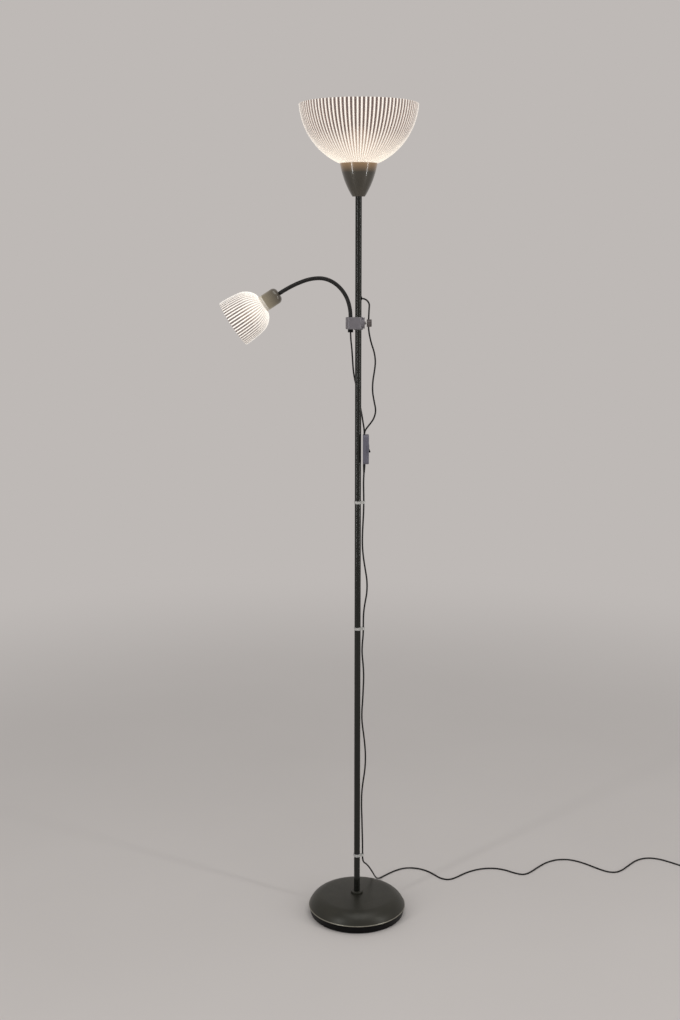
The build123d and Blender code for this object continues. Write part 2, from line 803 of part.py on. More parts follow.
# ---------------------------------------------------------------- in-line switch
switch_part_x = switch_x + switch_base_thick
switch_face_x = switch_part_x + switch_cover_thick
switch_middle_z = switch_z + switch_length / 2
rocker_x = switch_face_x - rocker_sink
with BuildPart() as switch_base:
    with BuildSketch(Plane.YZ.offset(switch_x)):
        with Locations((0, switch_middle_z)):
            RectangleRounded(switch_width, switch_length, switch_corner_r)
    extrude(amount=switch_base_thick)
    fillet(switch_base.edges().group_by(Axis.X)[0], switch_edge_r)
    with BuildSketch(Plane.YZ.offset(switch_part_x)):
        with Locations((0, switch_middle_z)):
            RectangleRounded(
                switch_width - 2 * switch_wall,
                switch_length - 2 * switch_wall,
                switch_corner_r - switch_wall,
            )
    extrude(amount=switch_wall - switch_base_thick, mode=Mode.SUBTRACT)
    with BuildSketch(Plane.XY.offset(switch_z)):
        with Locations((switch_lead_x, 0)):
            Circle(lead_r + seat_gap)
    extrude(amount=3 * switch_wall, mode=Mode.SUBTRACT)
    with BuildSketch(Plane.XY.offset(switch_z + switch_length)):
        with Locations((switch_lead_x, -switch_lead_y), (switch_lead_x, switch_lead_y)):
            Circle(lead_r + seat_gap)
    extrude(amount=-3 * switch_wall, mode=Mode.SUBTRACT)
export(switch_base, "switch_base")

with BuildPart() as switch_cover:
    with BuildSketch(Plane.YZ.offset(switch_part_x)):
        with Locations((0, switch_middle_z)):
            RectangleRounded(switch_width, switch_length, switch_corner_r)
    extrude(amount=switch_cover_thick)
    fillet(switch_cover.edges().group_by(Axis.X)[-1], switch_edge_r)
    with BuildSketch(Plane.YZ.offset(switch_part_x)):
        with Locations((0, switch_middle_z)):
            RectangleRounded(
                switch_width - 2 * switch_wall,
                switch_length - 2 * switch_wall,
                switch_corner_r - switch_wall,
            )
    extrude(amount=switch_cover_thick - switch_wall, mode=Mode.SUBTRACT)
    # two bosses carry the rocker's pin
    with BuildSketch(Plane.YZ.offset(switch_face_x - switch_wall)):
        boss_y = rocker_width / 2 + rocker_gap + pivot_boss / 2
        with Locations((-boss_y, rocker_z), (boss_y, rocker_z)):
            Rectangle(pivot_boss, 2 * pivot_boss)
    extrude(amount=-rocker_sink - pivot_boss)
    with BuildSketch(Plane.YZ.offset(switch_face_x)):
        with Locations((0, rocker_z)):
            Rectangle(rocker_width + 2 * rocker_gap, 2 * (rocker_r + rocker_gap))
    extrude(amount=-switch_wall, mode=Mode.SUBTRACT)
    with BuildSketch(Plane.XZ):
        with Locations((rocker_x, rocker_z)):
            Circle(pivot_pin_r + seat_gap)
    extrude(amount=rocker_width / 2 + rocker_gap + pivot_boss, both=True, mode=Mode.SUBTRACT)
    for side_y in (-switch_width / 2, switch_width / 2):
        with BuildSketch(Plane.XZ.offset(-side_y)):
            with Locations((switch_part_x + grip_setback, rocker_z)):
                SlotOverall(grip_length, grip_width, rotation=90)
        extrude(amount=grip_depth, both=True, mode=Mode.SUBTRACT)
export(switch_cover, "switch_cover")

# the rocker's face is a shallow V, and its ends are one cylinder about the pin
rocker_top = rocker_sink + rocker_proud
with BuildPart() as switch_rocker:
    with BuildSketch(Plane.XZ):
        with Locations((rocker_x, rocker_z)):
            Polygon(
                (-rocker_under, -rocker_r),
                (rocker_top + rocker_r * tan(radians(rocker_throw)), -rocker_r),
                (rocker_top, 0),
                (rocker_top, rocker_r),
                (-rocker_under, rocker_r),
                align=None,
            )
            Circle(rocker_r, mode=Mode.INTERSECT)
            Circle(pivot_pin_r + run_gap, mode=Mode.SUBTRACT)
    extrude(amount=rocker_width / 2, both=True)
export(switch_rocker, "switch_rocker")

with BuildPart() as switch_pin:
    with BuildSketch(Plane.XZ):
        with Locations((rocker_x, rocker_z)):
            Circle(pivot_pin_r)
    extrude(amount=rocker_width / 2 + rocker_gap + pivot_boss, both=True)
export(switch_pin, "switch_pin")


# ---------------------------------------------------------------- leads
def corner_radii(points):
    """The largest arc that each corner of a route has room for."""
    radii = []
    for before, corner, after in zip(points, points[1:], points[2:]):
        run_in = Vector(*corner) - Vector(*before)
        run_out = Vector(*after) - Vector(*corner)
        half_turn = radians(run_in.get_angle(run_out)) / 2
        radii.append(0.45 * min(run_in.length, run_out.length) / tan(half_turn))
    return radii


def lead_tube(name, points):
    """A round lead along straight runs joined by arcs, and its length."""
    radii = corner_radii(points)
    with BuildPart() as lead:
        with BuildLine() as route:
            FilletPolyline(*points, radius=radii)
        with BuildSketch(Plane(origin=route.line @ 0, z_dir=route.line % 0)):
            Circle(lead_r)
        sweep()
    export(lead, name)
    length = sum(edge.length for edge in route.edges())
    share = lead.part.volume / (pi * lead_r**2 * length)
    print(name, "length", round(length, 1), "volume over section times length", round(share, 4))
    print("  radii", [round(radius) for radius in radii])
    return lead


# from the pole's exit hole, out behind the knob and down to the switch
lead_lamp_points = [
    (-3.0, 0.0, exit_z),
    (15.8, 0.0, exit_z),
    (21.2, 10.5, 1392.5),
    (22.6, 22.0, 1375.0),
    (21.6, 28.0, 1356.0),
    (22.0, 29.5, 1332.0),
    (27.5, 27.5, 1309.0),
    (35.0, 25.0, 1288.0),
    (37.9, 23.5, 1267.0),
    (35.4, 22.5, 1246.0),
    (31.8, 21.5, 1225.0),
    (31.2, 20.0, 1203.0),
    (34.8, 17.0, 1182.0),
    (39.0, 11.5, 1163.0),
    (34.6, 5.0, 1146.0),
    (24.0, 0.5, 1132.5),
    (16.4, -2.6, 1123.5),
    (switch_lead_x, -switch_lead_y, 1115.5),
    (switch_lead_x, -switch_lead_y, 1108.0),
]
lead_lamp = lead_tube("lead_lamp", lead_lamp_points)

# from under the clamp down behind the pole to the switch, in two pieces that meet on one run
lead_arm_meet = (-6.8, 9.35, 1228.5)
lead_arm_upper_points = [
    (-arm_x, 0.0, 1345.0),
    (-arm_x, 0.0, 1322.0),
    (-13.9, 0.6, 1299.0),
    (-12.2, 2.6, 1275.0),
    (-10.9, 6.0, 1254.0),
    (-8.6, 8.5, 1237.0),
    lead_arm_meet,
]
lead_arm_lower_points = [
    lead_arm_meet,
    (-5.0, 10.2, 1220.0),
    (-1.2, 11.4, 1200.0),
    (3.4, 11.4, 1179.0),
    (7.6, 9.8, 1158.0),
    (10.8, 6.8, 1138.0),
    (12.9, 4.4, 1125.5),
    (switch_lead_x, switch_lead_y, 1116.5),
    (switch_lead_x, switch_lead_y, 1108.0),
]

# from the switch down the pole through the clips, off its foot and out over the floor
floor_z = lead_r + floor_gap
lead_mains_points = [
    (switch_lead_x, 0.0, 1052.0),
    (switch_lead_x, 0.0, 1036.0),
    (12.0, 0.6, 1008.0),
    (clip_lead_x, 0.0, 979.0),
    (clip_lead_x, 0.0, 948.0),
    (11.8, -0.6, 925.0),
    (10.3, -0.8, 896.0),
    (9.9, -0.4, 867.0),
    (12.6, 0.2, 838.0),
    (16.8, 0.8, 812.0),
    (21.0, 0.9, 786.0),
    (20.6, 0.5, 759.0),
    (16.2, 0.0, 736.0),
    (13.2, -0.3, 714.0),
    (clip_lead_x, 0.0, 692.0),
    (clip_lead_x, 0.0, 664.0),
    (10.7, 0.5, 644.0),
    (10.0, 0.9, 620.0),
    (12.8, 0.6, 594.0),
    (14.2, 0.2, 568.0),
    (13.2, -0.4, 541.0),
    (12.0, -0.6, 512.0),
    (10.1, -0.2, 486.0),
    (10.3, 0.0, 460.0),
    (14.2, 0.6, 432.0),
    (17.6, 1.0, 402.0),
    (19.0, 1.2, 372.0),
    (17.2, 0.8, 342.0),
    (12.9, 0.2, 315.0),
    (10.2, -0.3, 288.0),
    (10.0, -0.6, 259.0),
    (11.0, -0.3, 229.0),
    (11.8, 0.0, 198.0),
    (12.6, 0.2, 171.0),
    (clip_lead_x, 0.0, 151.0),
    (clip_lead_x, 0.0, 129.0),
    (15.6, 9.5, 117.0),
    (21.4, 30.0, 104.0),
    (29.6, 62.0, 80.0),
    (38.0, 97.0, 51.0),
    (45.4, 127.0, 24.0),
    (51.6, 149.0, 7.5),
    (61.0, 167.0, floor_z),
    (79.0, 187.0, floor_z),
    (99.0, 206.0, floor_z),
    (121.0, 219.0, floor_z),
    (146.0, 219.0, floor_z),
    (170.0, 208.0, floor_z),
    (189.0, 188.0, floor_z),
    (204.0, 164.0, floor_z),
    (223.0, 154.0, floor_z),
    (243.0, 165.0, floor_z),
    (268.0, 191.0, floor_z),
    (301.0, 212.0, floor_z),
    (338.0, 219.0, floor_z),
    (368.0, 209.0, floor_z),
    (391.0, 190.0, floor_z),
    (412.0, 181.0, floor_z),
    (431.0, 196.0, floor_z),
    (454.0, 225.0, floor_z),
    (480.0, 252.0, floor_z),
    (510.0, 267.0, floor_z),
    (542.0, 265.0, floor_z),
    (570.0, 246.0, floor_z),
    (595.0, 220.0, floor_z),
    (617.0, 199.0, floor_z),
    (638.0, 193.0, floor_z),
    (658.0, 206.0, floor_z),
    (680.0, 233.0, floor_z),
    (704.0, 261.0, floor_z),
    (733.0, 276.0, floor_z),
    (763.0, 270.0, floor_z),
    (789.0, 250.0, floor_z),
    (812.0, 229.0, floor_z),
    (832.0, 214.0, floor_z),
]

for name, points in (
    ("lead_arm_upper", lead_arm_upper_points),
    ("lead_arm_lower", lead_arm_lower_points),
    ("lead_mains", lead_mains_points),
):
    lead_tube(name, points)

# the rest of the lead lies in a small coil: its outer shape, with the tail that leads to the plug
lead_end = Vector(*lead_mains_points[-1])
lead_run = (lead_end - Vector(*lead_mains_points[-2])).normalized()
coil_middle = lead_end + Vector(-lead_run.Y, lead_run.X) * coil_r
tail_y = coil_middle.Y - coil_r
coil_plane = Plane(origin=(coil_middle.X, coil_middle.Y, floor_gap), x_dir=(1, 0, 0), z_dir=(0, -1, 0))
with BuildPart() as lead_coil:
    with BuildSketch(coil_plane):
        with Locations((coil_r, coil_thick / 2)):
            RectangleRounded(coil_thick, coil_thick, 0.3 * coil_thick)
    revolve(axis=Axis((coil_middle.X, coil_middle.Y, 0), (0, 0, 1)))
    with BuildSketch(Plane(origin=(coil_middle.X, tail_y, floor_z), z_dir=(1, 0, 0))):
        Circle(lead_r)
    extrude(amount=coil_tail)
export(lead_coil, "lead_coil")

# the plug lies flat with its pins towards +X, and its sleeve widens from the lead to the body
sleeve_x = coil_middle.X + coil_tail
plug_x = sleeve_x + plug_sleeve_length
plug_nose_x = plug_x + plug_length
plug_z = floor_gap + plug_thick / 2
plug_waist = 2 * plug_sleeve_r * sleeve_flare
with BuildPart() as plug_body:
    with BuildSketch(Plane.XY.offset(floor_gap)):
        with Locations((0, tail_y)):
            Polygon(
                (plug_x, -plug_waist / 2),
                (plug_x + plug_length / 2, -plug_width / 2),
                (plug_nose_x, -plug_nose / 2),
                (plug_nose_x, plug_nose / 2),
                (plug_x + plug_length / 2, plug_width / 2),
                (plug_x, plug_waist / 2),
                align=None,
            )
    extrude(amount=plug_thick)
    chamfer(plug_body.edges().group_by(Axis.Z)[0], plug_edge)
    chamfer(plug_body.edges().group_by(Axis.Z)[-1], plug_edge)
    with BuildSketch(Plane(origin=(plug_x, tail_y, plug_z), z_dir=(1, 0, 0))):
        Circle(plug_sleeve_r * sleeve_flare)
    with BuildSketch(Plane(origin=(sleeve_x, tail_y, floor_gap + plug_sleeve_r), z_dir=(1, 0, 0))):
        Circle(plug_sleeve_r)
    loft()
    pin_plane = Plane(origin=(plug_nose_x - pin_grip, tail_y, plug_z), x_dir=(0, 1, 0), z_dir=(1, 0, 0))
    with BuildSketch(pin_plane):
        with GridLocations(pin_spacing, pin_spacing, 2, 1):
            Circle(pin_r + seat_gap)
    extrude(amount=pin_grip, mode=Mode.SUBTRACT)
export(plug_body, "plug_body")

for number, side in enumerate((-1, 1), start=1):
    with BuildPart() as plug_pin:
        pin_y = tail_y + side * pin_spacing / 2
        with BuildSketch(Plane(origin=(plug_nose_x - pin_grip, pin_y, plug_z), z_dir=(1, 0, 0))):
            Circle(pin_r)
        extrude(amount=pin_grip + pin_length)
        fillet(plug_pin.edges().group_by(Axis.X)[-1], 0.45 * pin_r)
    export(plug_pin, f"plug_pin_{number}")
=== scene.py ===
# %% [markdown]
# # A floor lamp with a reading light
# This notebook dresses a floor lamp: a slim pole on a round base, a ribbed bowl that throws light
# up at the ceiling, and a small ribbed shade on a gooseneck to read by.
# The hard parts come from the CAD model, already in place and in metres. We keep those whose shape
# is right and give them a finish, and make again what CAD does plainly: the fluted shades, the
# rounded base, the sleeve of the gooseneck and the soft leads.

# %% Load the CAD frame
from math import asin, atan2, cos, degrees, pi, radians, sin, sqrt

import bmesh
import bpy
from mathutils import Matrix, Vector


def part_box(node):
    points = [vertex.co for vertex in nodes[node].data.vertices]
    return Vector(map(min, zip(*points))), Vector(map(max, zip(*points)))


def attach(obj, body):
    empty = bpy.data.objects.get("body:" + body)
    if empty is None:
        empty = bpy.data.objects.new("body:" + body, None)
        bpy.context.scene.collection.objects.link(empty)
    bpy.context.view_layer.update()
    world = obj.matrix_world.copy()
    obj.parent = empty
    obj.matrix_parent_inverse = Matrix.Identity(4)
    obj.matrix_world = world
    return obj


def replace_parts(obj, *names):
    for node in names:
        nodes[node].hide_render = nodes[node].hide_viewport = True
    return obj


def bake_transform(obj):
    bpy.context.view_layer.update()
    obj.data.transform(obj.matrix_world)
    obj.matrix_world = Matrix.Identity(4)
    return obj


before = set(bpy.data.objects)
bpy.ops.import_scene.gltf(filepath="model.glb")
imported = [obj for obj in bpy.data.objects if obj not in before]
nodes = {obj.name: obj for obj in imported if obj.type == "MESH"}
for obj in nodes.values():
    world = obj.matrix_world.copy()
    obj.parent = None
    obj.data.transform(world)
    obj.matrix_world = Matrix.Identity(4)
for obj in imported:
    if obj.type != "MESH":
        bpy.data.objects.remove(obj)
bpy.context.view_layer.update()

# %% [markdown]
# ## Camera
# The photograph was taken from about eye height, nearly three metres away, looking slightly down,
# from a little to the left of the pole. The lens came from matching the height of the lamp and the
# slant of its round base. It isn't shifted, so the camera also works when it is moved round the lamp.

# %% Set up the camera
scene = bpy.context.scene
camera_data = bpy.data.cameras.new("camera")
camera_data.sensor_width = 36
camera_data.lens = 46.6
camera = bpy.data.objects.new("camera", camera_data)
camera.location = (-0.039, -2.8369, 1.4768)
camera.rotation_euler = (radians(79.4), 0, 0)
scene.collection.objects.link(camera)
scene.camera = camera
scene.view_settings.view_transform = "Standard"
print("camera", camera_data.lens, "mm at", tuple(camera.location))

# %% [markdown]
# ## A small tool for finishes
# Every finish on this lamp is one Principled shader with some noise behind it. A real surface is
# never one flat colour: paint has flecks and a faint orange peel, moulded plastic has a fine
# grain. So one helper lays a slow colour change, a change of gloss and a bump under each finish,
# and each finish says how much of them it shows and at what size. Colours and numbers that are the
# same all over sit on the shader's own sockets.


# %% Define the finish helper
def linear(red, green, blue):
    """A colour as a screen shows it, 0 to 255, in the linear numbers that shaders use."""
    shares = [channel / 255 for channel in (red, green, blue)]
    return tuple(((s + 0.055) / 1.055) ** 2.4 if s > 0.04045 else s / 12.92 for s in shares)


class Finish:
    """A material whose patterns follow the object's own coordinates."""

    def __init__(self, name):
        self.material = bpy.data.materials.new(name)
        self.material.use_nodes = True
        self.tree = self.material.node_tree
        self.shader = self.tree.nodes["Principled BSDF"]
        self.place = self.tree.nodes.new("ShaderNodeTexCoord").outputs["Object"]

    def set(self, **values):
        for socket, value in values.items():
            entry = self.shader.inputs[socket.replace("_", " ")]
            entry.default_value = (*value, 1) if isinstance(value, tuple) else value
        return self

    def node(self, kind, **inputs):
        made = self.tree.nodes.new(kind)
        for socket, value in inputs.items():
            made.inputs[socket.replace("_", " ")].default_value = value
        return made

    def noise(self, size, detail=3.0, stretch=(1, 1, 1)):
        """Soft noise whose blotches are about this size in metres."""
        mapping = self.node("ShaderNodeMapping", Scale=stretch)
        self.tree.links.new(self.place, mapping.inputs["Vector"])
        texture = self.node("ShaderNodeTexNoise", Scale=1 / size, Detail=detail)
        self.tree.links.new(mapping.outputs["Vector"], texture.inputs["Vector"])
        return texture.outputs["Fac"]

    def along(self, origin, direction):
        """How far a point of the surface lies from origin along a direction, in metres."""
        away, measured = (self.tree.nodes.new("ShaderNodeVectorMath") for _ in range(2))
        away.operation, measured.operation = "SUBTRACT", "DOT_PRODUCT"
        away.inputs[1].default_value, measured.inputs[1].default_value = origin, direction
        self.tree.links.new(self.place, away.inputs[0])
        self.tree.links.new(away.outputs["Vector"], measured.inputs[0])
        return measured.outputs["Value"]

    def attribute(self, name):
        """A number that the piece's own vertices carry."""
        made = self.tree.nodes.new("ShaderNodeAttribute")
        made.attribute_name = name
        return made.outputs["Fac"]

    def mix(self, share, one, other):
        """Two colours from other nodes, one where share is 0 and the other where it is 1."""
        made = self.tree.nodes.new("ShaderNodeMix")
        made.data_type = "RGBA"
        for output, socket in ((share, 0), (one, 6), (other, 7)):
            self.tree.links.new(output, made.inputs[socket])
        return made.outputs[2]

    def ramp(self, source, low, high, start=0.3, end=0.7):
        """source from start to end, as colours or numbers from low to high."""
        coloured = isinstance(low, tuple)
        made = self.tree.nodes.new("ShaderNodeValToRGB" if coloured else "ShaderNodeMapRange")
        self.tree.links.new(source, made.inputs[0])
        if coloured:
            made.color_ramp.elements[0].position = start
            made.color_ramp.elements[0].color = (*low, 1)
            made.color_ramp.elements[1].position = end
            made.color_ramp.elements[1].color = (*high, 1)
            return made.outputs["Color"]
        for socket, value in (("From Min", start), ("From Max", end), ("To Min", low), ("To Max", high)):
            made.inputs[socket].default_value = value
        return made.outputs["Result"]

    def drive(self, socket, output):
        self.tree.links.new(output, self.shader.inputs[socket])
        return self

    def colour(self, source, low, high, start=0.3, end=0.7):
        return self.drive("Base Color", self.ramp(source, low, high, start, end))

    def gloss(self, source, low, high):
        return self.drive("Roughness", self.ramp(source, low, high))

    def bump(self, source, height, strength=0.6):
        """Dents and grain, height metres deep from their lowest to their highest."""
        made = self.node("ShaderNodeBump", Strength=strength, Distance=height)
        before = self.shader.inputs["Normal"].links
        if before:
            self.tree.links.new(before[0].from_socket, made.inputs["Normal"])
        self.tree.links.new(source, made.inputs["Height"])
        return self.drive("Normal", made.outputs["Normal"])


print("finish helper ready; mid grey is", [round(v, 3) for v in linear(128, 128, 128)])

# %% [markdown]
# ## The floor and the sky
# The studio is a plain pale floor with no end and no edge. Near the lamp it is a matt surface that
# takes the lamp's shadow. Further off it melts into the colour of the sky, so that no horizon
# crosses the picture. Both are made with Light Path: what the camera sees, also in a reflection or
# through the clear shades, is one even pale grey, while the light that falls on the lamp is set
# apart from it. A wall behind the lamp would do too, but it would stand in the way of a view from
# the back.


# %% Define what the camera sees of a backdrop
pale_grey = linear(190, 185, 182)
sky_light = 0.42


def seen_rays(tree):
    """1 for a ray that shows the backdrop, straight or by way of metal or glass, and 0 for light."""
    rays = tree.nodes.new("ShaderNodeLightPath")
    total = rays.outputs["Is Camera Ray"]
    for name in ("Is Glossy Ray", "Is Transmission Ray"):
        larger = tree.nodes.new("ShaderNodeMath")
        larger.operation = "MAXIMUM"
        tree.links.new(total, larger.inputs[0])
        tree.links.new(rays.outputs[name], larger.inputs[1])
        total = larger.outputs[0]
    return total


# %% Make the sky
world = bpy.data.worlds.new("studio")
scene.world = world
world.use_nodes = True
sky = world.node_tree
shown_sky = sky.nodes["Background"]
shown_sky.inputs["Color"].default_value = (*pale_grey, 1)
lighting_sky = sky.nodes.new("ShaderNodeBackground")
lighting_sky.inputs["Strength"].default_value = sky_light
lighting_sky.inputs["Color"].default_value = (1, 1, 1, 1)
which_sky = sky.nodes.new("ShaderNodeMixShader")
sky.links.new(seen_rays(sky), which_sky.inputs[0])
sky.links.new(lighting_sky.outputs[0], which_sky.inputs[1])
sky.links.new(shown_sky.outputs[0], which_sky.inputs[2])
sky.links.new(which_sky.outputs[0], sky.nodes["World Output"].inputs["Surface"])
print("sky shown as", [round(value, 2) for value in pale_grey], "and lighting at", sky_light)

# %% Lay the floor
floor_mesh = bpy.data.meshes.new("floor")
floor_shape = bmesh.new()
bmesh.ops.create_circle(floor_shape, cap_ends=True, radius=60, segments=64)
floor_shape.to_mesh(floor_mesh)
floor_shape.free()
floor = bpy.data.objects.new("floor", floor_mesh)
scene.collection.objects.link(floor)
floor_finish = Finish("floor_pale").set(Roughness=0.9, Specular_IOR_Level=0.15)
floor_finish.colour(floor_finish.noise(0.9), linear(212, 206, 202), linear(216, 210, 206))
floor_mesh.materials.append(floor_finish.material)

tree = floor_finish.tree
melted = tree.nodes.new("ShaderNodeEmission")
melted.inputs["Color"].default_value = (*pale_grey, 1)
away = tree.nodes.new("ShaderNodeVectorMath")
away.operation = "LENGTH"
tree.links.new(floor_finish.place, away.inputs[0])
melt_start, melt_end = 0.9, 3.4
far = floor_finish.ramp(away.outputs["Value"], 0.0, 1.0, melt_start, melt_end)
far.node.interpolation_type = "SMOOTHSTEP"
far_and_seen = tree.nodes.new("ShaderNodeMath")
far_and_seen.operation = "MULTIPLY"
tree.links.new(far, far_and_seen.inputs[0])
tree.links.new(seen_rays(tree), far_and_seen.inputs[1])
which_floor = tree.nodes.new("ShaderNodeMixShader")
tree.links.new(far_and_seen.outputs[0], which_floor.inputs[0])
tree.links.new(floor_finish.shader.outputs[0], which_floor.inputs[1])
tree.links.new(melted.outputs[0], which_floor.inputs[2])
tree.links.new(which_floor.outputs[0], tree.nodes["Material Output"].inputs["Surface"])
print("floor laid, melting into the sky between", melt_start, "and", melt_end, "m from the pole")

# %% [markdown]
# ## The light
# Soft boxes stand on both sides of the camera, because the photographed pole and cup show a long
# streak of light on either side of their middle. They are tall and narrow, as the streaks are. A
# large weak one hangs above, for soft shadows on the floor.

# %% Light the studio
lamp_middle = Vector((0, 0, 1.0))
for name, place, size, power in (
    ("softbox_left", (-1.9, -1.9, 1.35), (0.16, 2.3), 17),
    ("softbox_right", (2.2, -1.3, 1.35), (0.14, 2.3), 13),
    ("softbox_above", (0.4, -0.9, 3.8), (2.6, 2.6), 30),
):
    light_data = bpy.data.lights.new(name, "AREA")
    light_data.shape = "RECTANGLE"
    light_data.size, light_data.size_y = size
    light_data.energy = power
    light = bpy.data.objects.new(name, light_data)
    light.location = place
    light.rotation_euler = (lamp_middle - Vector(place)).to_track_quat("-Z", "Y").to_euler()
    scene.collection.objects.link(light)
    print(name, power, "W")

# %% [markdown]
# ## The leads
# Three black leads hang on the pole. Two come down to the switch, one out of the pole and one out
# of the reading arm, and the mains lead runs from the switch through three clips, off the base and
# out over the floor in loose waves. A real lead is one length of soft cable, so each is one smooth
# curve with a round bevel and not a string of straight tubes. The points below are the route in
# millimetres, the same as in the CAD source but for the first bend below the hole in the pole,
# which has more points to be gentle. The curve runs smoothly past them.


# %% Define how a lead is made
lead_radius = 0.0018
lead_finish = Finish("lead_black").set(Specular_IOR_Level=0.3)
lead_finish.colour(lead_finish.noise(0.02), linear(7, 6, 6), linear(14, 12, 12))
lead_finish.gloss(lead_finish.noise(0.006), 0.38, 0.55)
lead_finish.bump(lead_finish.noise(0.0012, stretch=(1, 1, 0.25)), 0.00006)


def lead_curve(name, route, radius):
    """One smooth curve of a lead past the points of its route, given in millimetres."""
    curve = bpy.data.curves.new(name, "CURVE")
    curve.dimensions = "3D"
    spline = curve.splines.new("NURBS")
    spline.points.add(len(route) - 1)
    for point, place in zip(spline.points, route):
        point.co = (*[step / 1000 for step in place], 1)
    spline.order_u = 3
    spline.use_endpoint_u = True
    spline.resolution_u = 8
    curve.bevel_depth = radius
    curve.bevel_resolution = 3
    curve.use_fill_caps = True
    made = bpy.data.objects.new(name, curve)
    scene.collection.objects.link(made)
    curve.materials.append(lead_finish.material)
    return made


def followed(curve_object):
    """The points along a curve's own line, read with its bevel off for a moment."""
    bevel = curve_object.data.bevel_depth
    curve_object.data.bevel_depth = 0
    bpy.context.view_layer.update()
    evaluated = curve_object.evaluated_get(bpy.context.evaluated_depsgraph_get())
    line = bpy.data.meshes.new_from_object(evaluated)
    curve_object.data.bevel_depth = bevel
    points = [vertex.co.copy() for vertex in line.vertices]
    bpy.data.meshes.remove(line)
    return points


def run_length(points):
    return sum((after - before).length for before, after in zip(points, points[1:]))


# %% Lead from the pole to the switch
lamp_lead_route = [
    (-3.0, 0.0, 1403.0), (9.0, 0.0, 1403.0), (15.9, 1.5, 1400.4), (21.1, 4.2, 1395.7),
    (23.7, 7.7, 1389.6), (23.2, 12.2, 1381.8), (22.5, 23.2, 1360.9), (22.0, 29.0, 1337.0),
    (27.5, 27.5, 1309.0), (35.0, 25.0, 1288.0),
    (37.9, 23.5, 1267.0), (35.4, 22.5, 1246.0), (31.8, 21.5, 1225.0), (31.2, 20.0, 1203.0),
    (34.8, 17.0, 1182.0), (39.0, 11.5, 1163.0), (34.6, 5.0, 1146.0), (24.0, 0.5, 1132.5),
    (16.4, -2.6, 1123.5), (13.6, -3.6, 1115.5), (13.6, -3.6, 1108.0),
]
lamp_lead = lead_curve("lead_from_pole", lamp_lead_route, lead_radius)
lamp_lead_length = run_length(followed(lamp_lead))
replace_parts(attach(lamp_lead, "stand"), "lead_lamp")
print("lead from the pole:", round(lamp_lead_length, 3), "m")

# %% [markdown]
# The lead of the reading arm crosses two joints: the clamp turns on its liner, and the liner
# slides on the pole. Its two halves meet at one point on the liner's body, and each is a mesh tube
# swept along the line read from the curve.


# %% Define how a ring is swept along a line
def sweep_ring(name, line, radius, sides=12, radius_at=None):
    """A closed tube along a line of points, as a mesh. radius_at(share) may change its radius."""
    shape = bmesh.new()
    ring = bmesh.ops.create_circle(shape, cap_ends=False, radius=1, segments=sides)["verts"]
    edges = list({edge for vertex in ring for edge in vertex.link_edges})
    first_ring = list(ring)
    total = run_length(line)
    side = None
    before = Matrix.Identity(4)
    gone = 0.0
    for index, point in enumerate(line):
        ahead = line[min(index + 1, len(line) - 1)] - line[max(index - 1, 0)]
        ahead.normalize()
        side = ahead.orthogonal() if side is None else side - ahead * side.dot(ahead)
        side.normalize()
        if index:
            gone += (point - line[index - 1]).length
            grown = bmesh.ops.extrude_edge_only(shape, edges=edges)["geom"]
            ring = [item for item in grown if isinstance(item, bmesh.types.BMVert)]
            edges = [item for item in grown if isinstance(item, bmesh.types.BMEdge)]
            edges = [edge for edge in edges if all(vertex in ring for vertex in edge.verts)]
        size = radius_at(gone / total) if radius_at else radius
        turn = Matrix((side, ahead.cross(side), ahead)).transposed().to_4x4()
        frame_here = Matrix.Translation(point) @ turn @ Matrix.Diagonal((size, size, 1, 1))
        bmesh.ops.transform(shape, matrix=frame_here @ before.inverted(), verts=ring)
        before = frame_here
    bmesh.ops.contextual_create(shape, geom=edges)
    bmesh.ops.contextual_create(
        shape, geom=[edge for edge in shape.edges if all(vertex in first_ring for vertex in edge.verts)]
    )
    bmesh.ops.recalc_face_normals(shape, faces=shape.faces)
    mesh = bpy.data.meshes.new(name)
    shape.to_mesh(mesh)
    shape.free()
    mesh.shade_smooth()
    made = bpy.data.objects.new(name, mesh)
    scene.collection.objects.link(made)
    return made


def blended_lead(name, route, node):
    """A lead swept as a mesh tube along its route, from its first point to its last, in place of a CAD
    node.
    """
    curve_object = lead_curve(name + "_line", route, lead_radius)
    line = followed(curve_object)
    bpy.data.objects.remove(curve_object)
    tube = sweep_ring(name, line, lead_radius)
    tube.data.materials.append(lead_finish.material)
    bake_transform(tube)
    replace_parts(tube, node)
    return tube, line


# %% Leads of the reading arm
arm_meet = (-6.8, 9.35, 1228.5)
arm_upper_route = [
    (-16.6, 0.0, 1345.0), (-16.6, 0.0, 1322.0), (-13.9, 0.6, 1299.0), (-12.2, 2.6, 1275.0),
    (-10.9, 6.0, 1254.0), (-8.6, 8.5, 1237.0), arm_meet,
]
arm_lower_route = [
    arm_meet, (-5.0, 10.2, 1220.0), (-1.2, 11.4, 1200.0), (3.4, 11.4, 1179.0), (7.6, 9.8, 1158.0),
    (10.8, 6.8, 1138.0), (12.9, 4.4, 1125.5), (13.6, 3.6, 1116.5), (13.6, 3.6, 1108.0),
]
arm_upper, arm_upper_line = blended_lead(
    "lead_from_arm_upper", arm_upper_route, "lead_arm_upper"
)
arm_lower, arm_lower_line = blended_lead(
    "lead_from_arm_lower", arm_lower_route, "lead_arm_lower"
)
print("arm lead:", round(run_length(arm_upper_line), 4), "and", round(run_length(arm_lower_line), 4), "m")

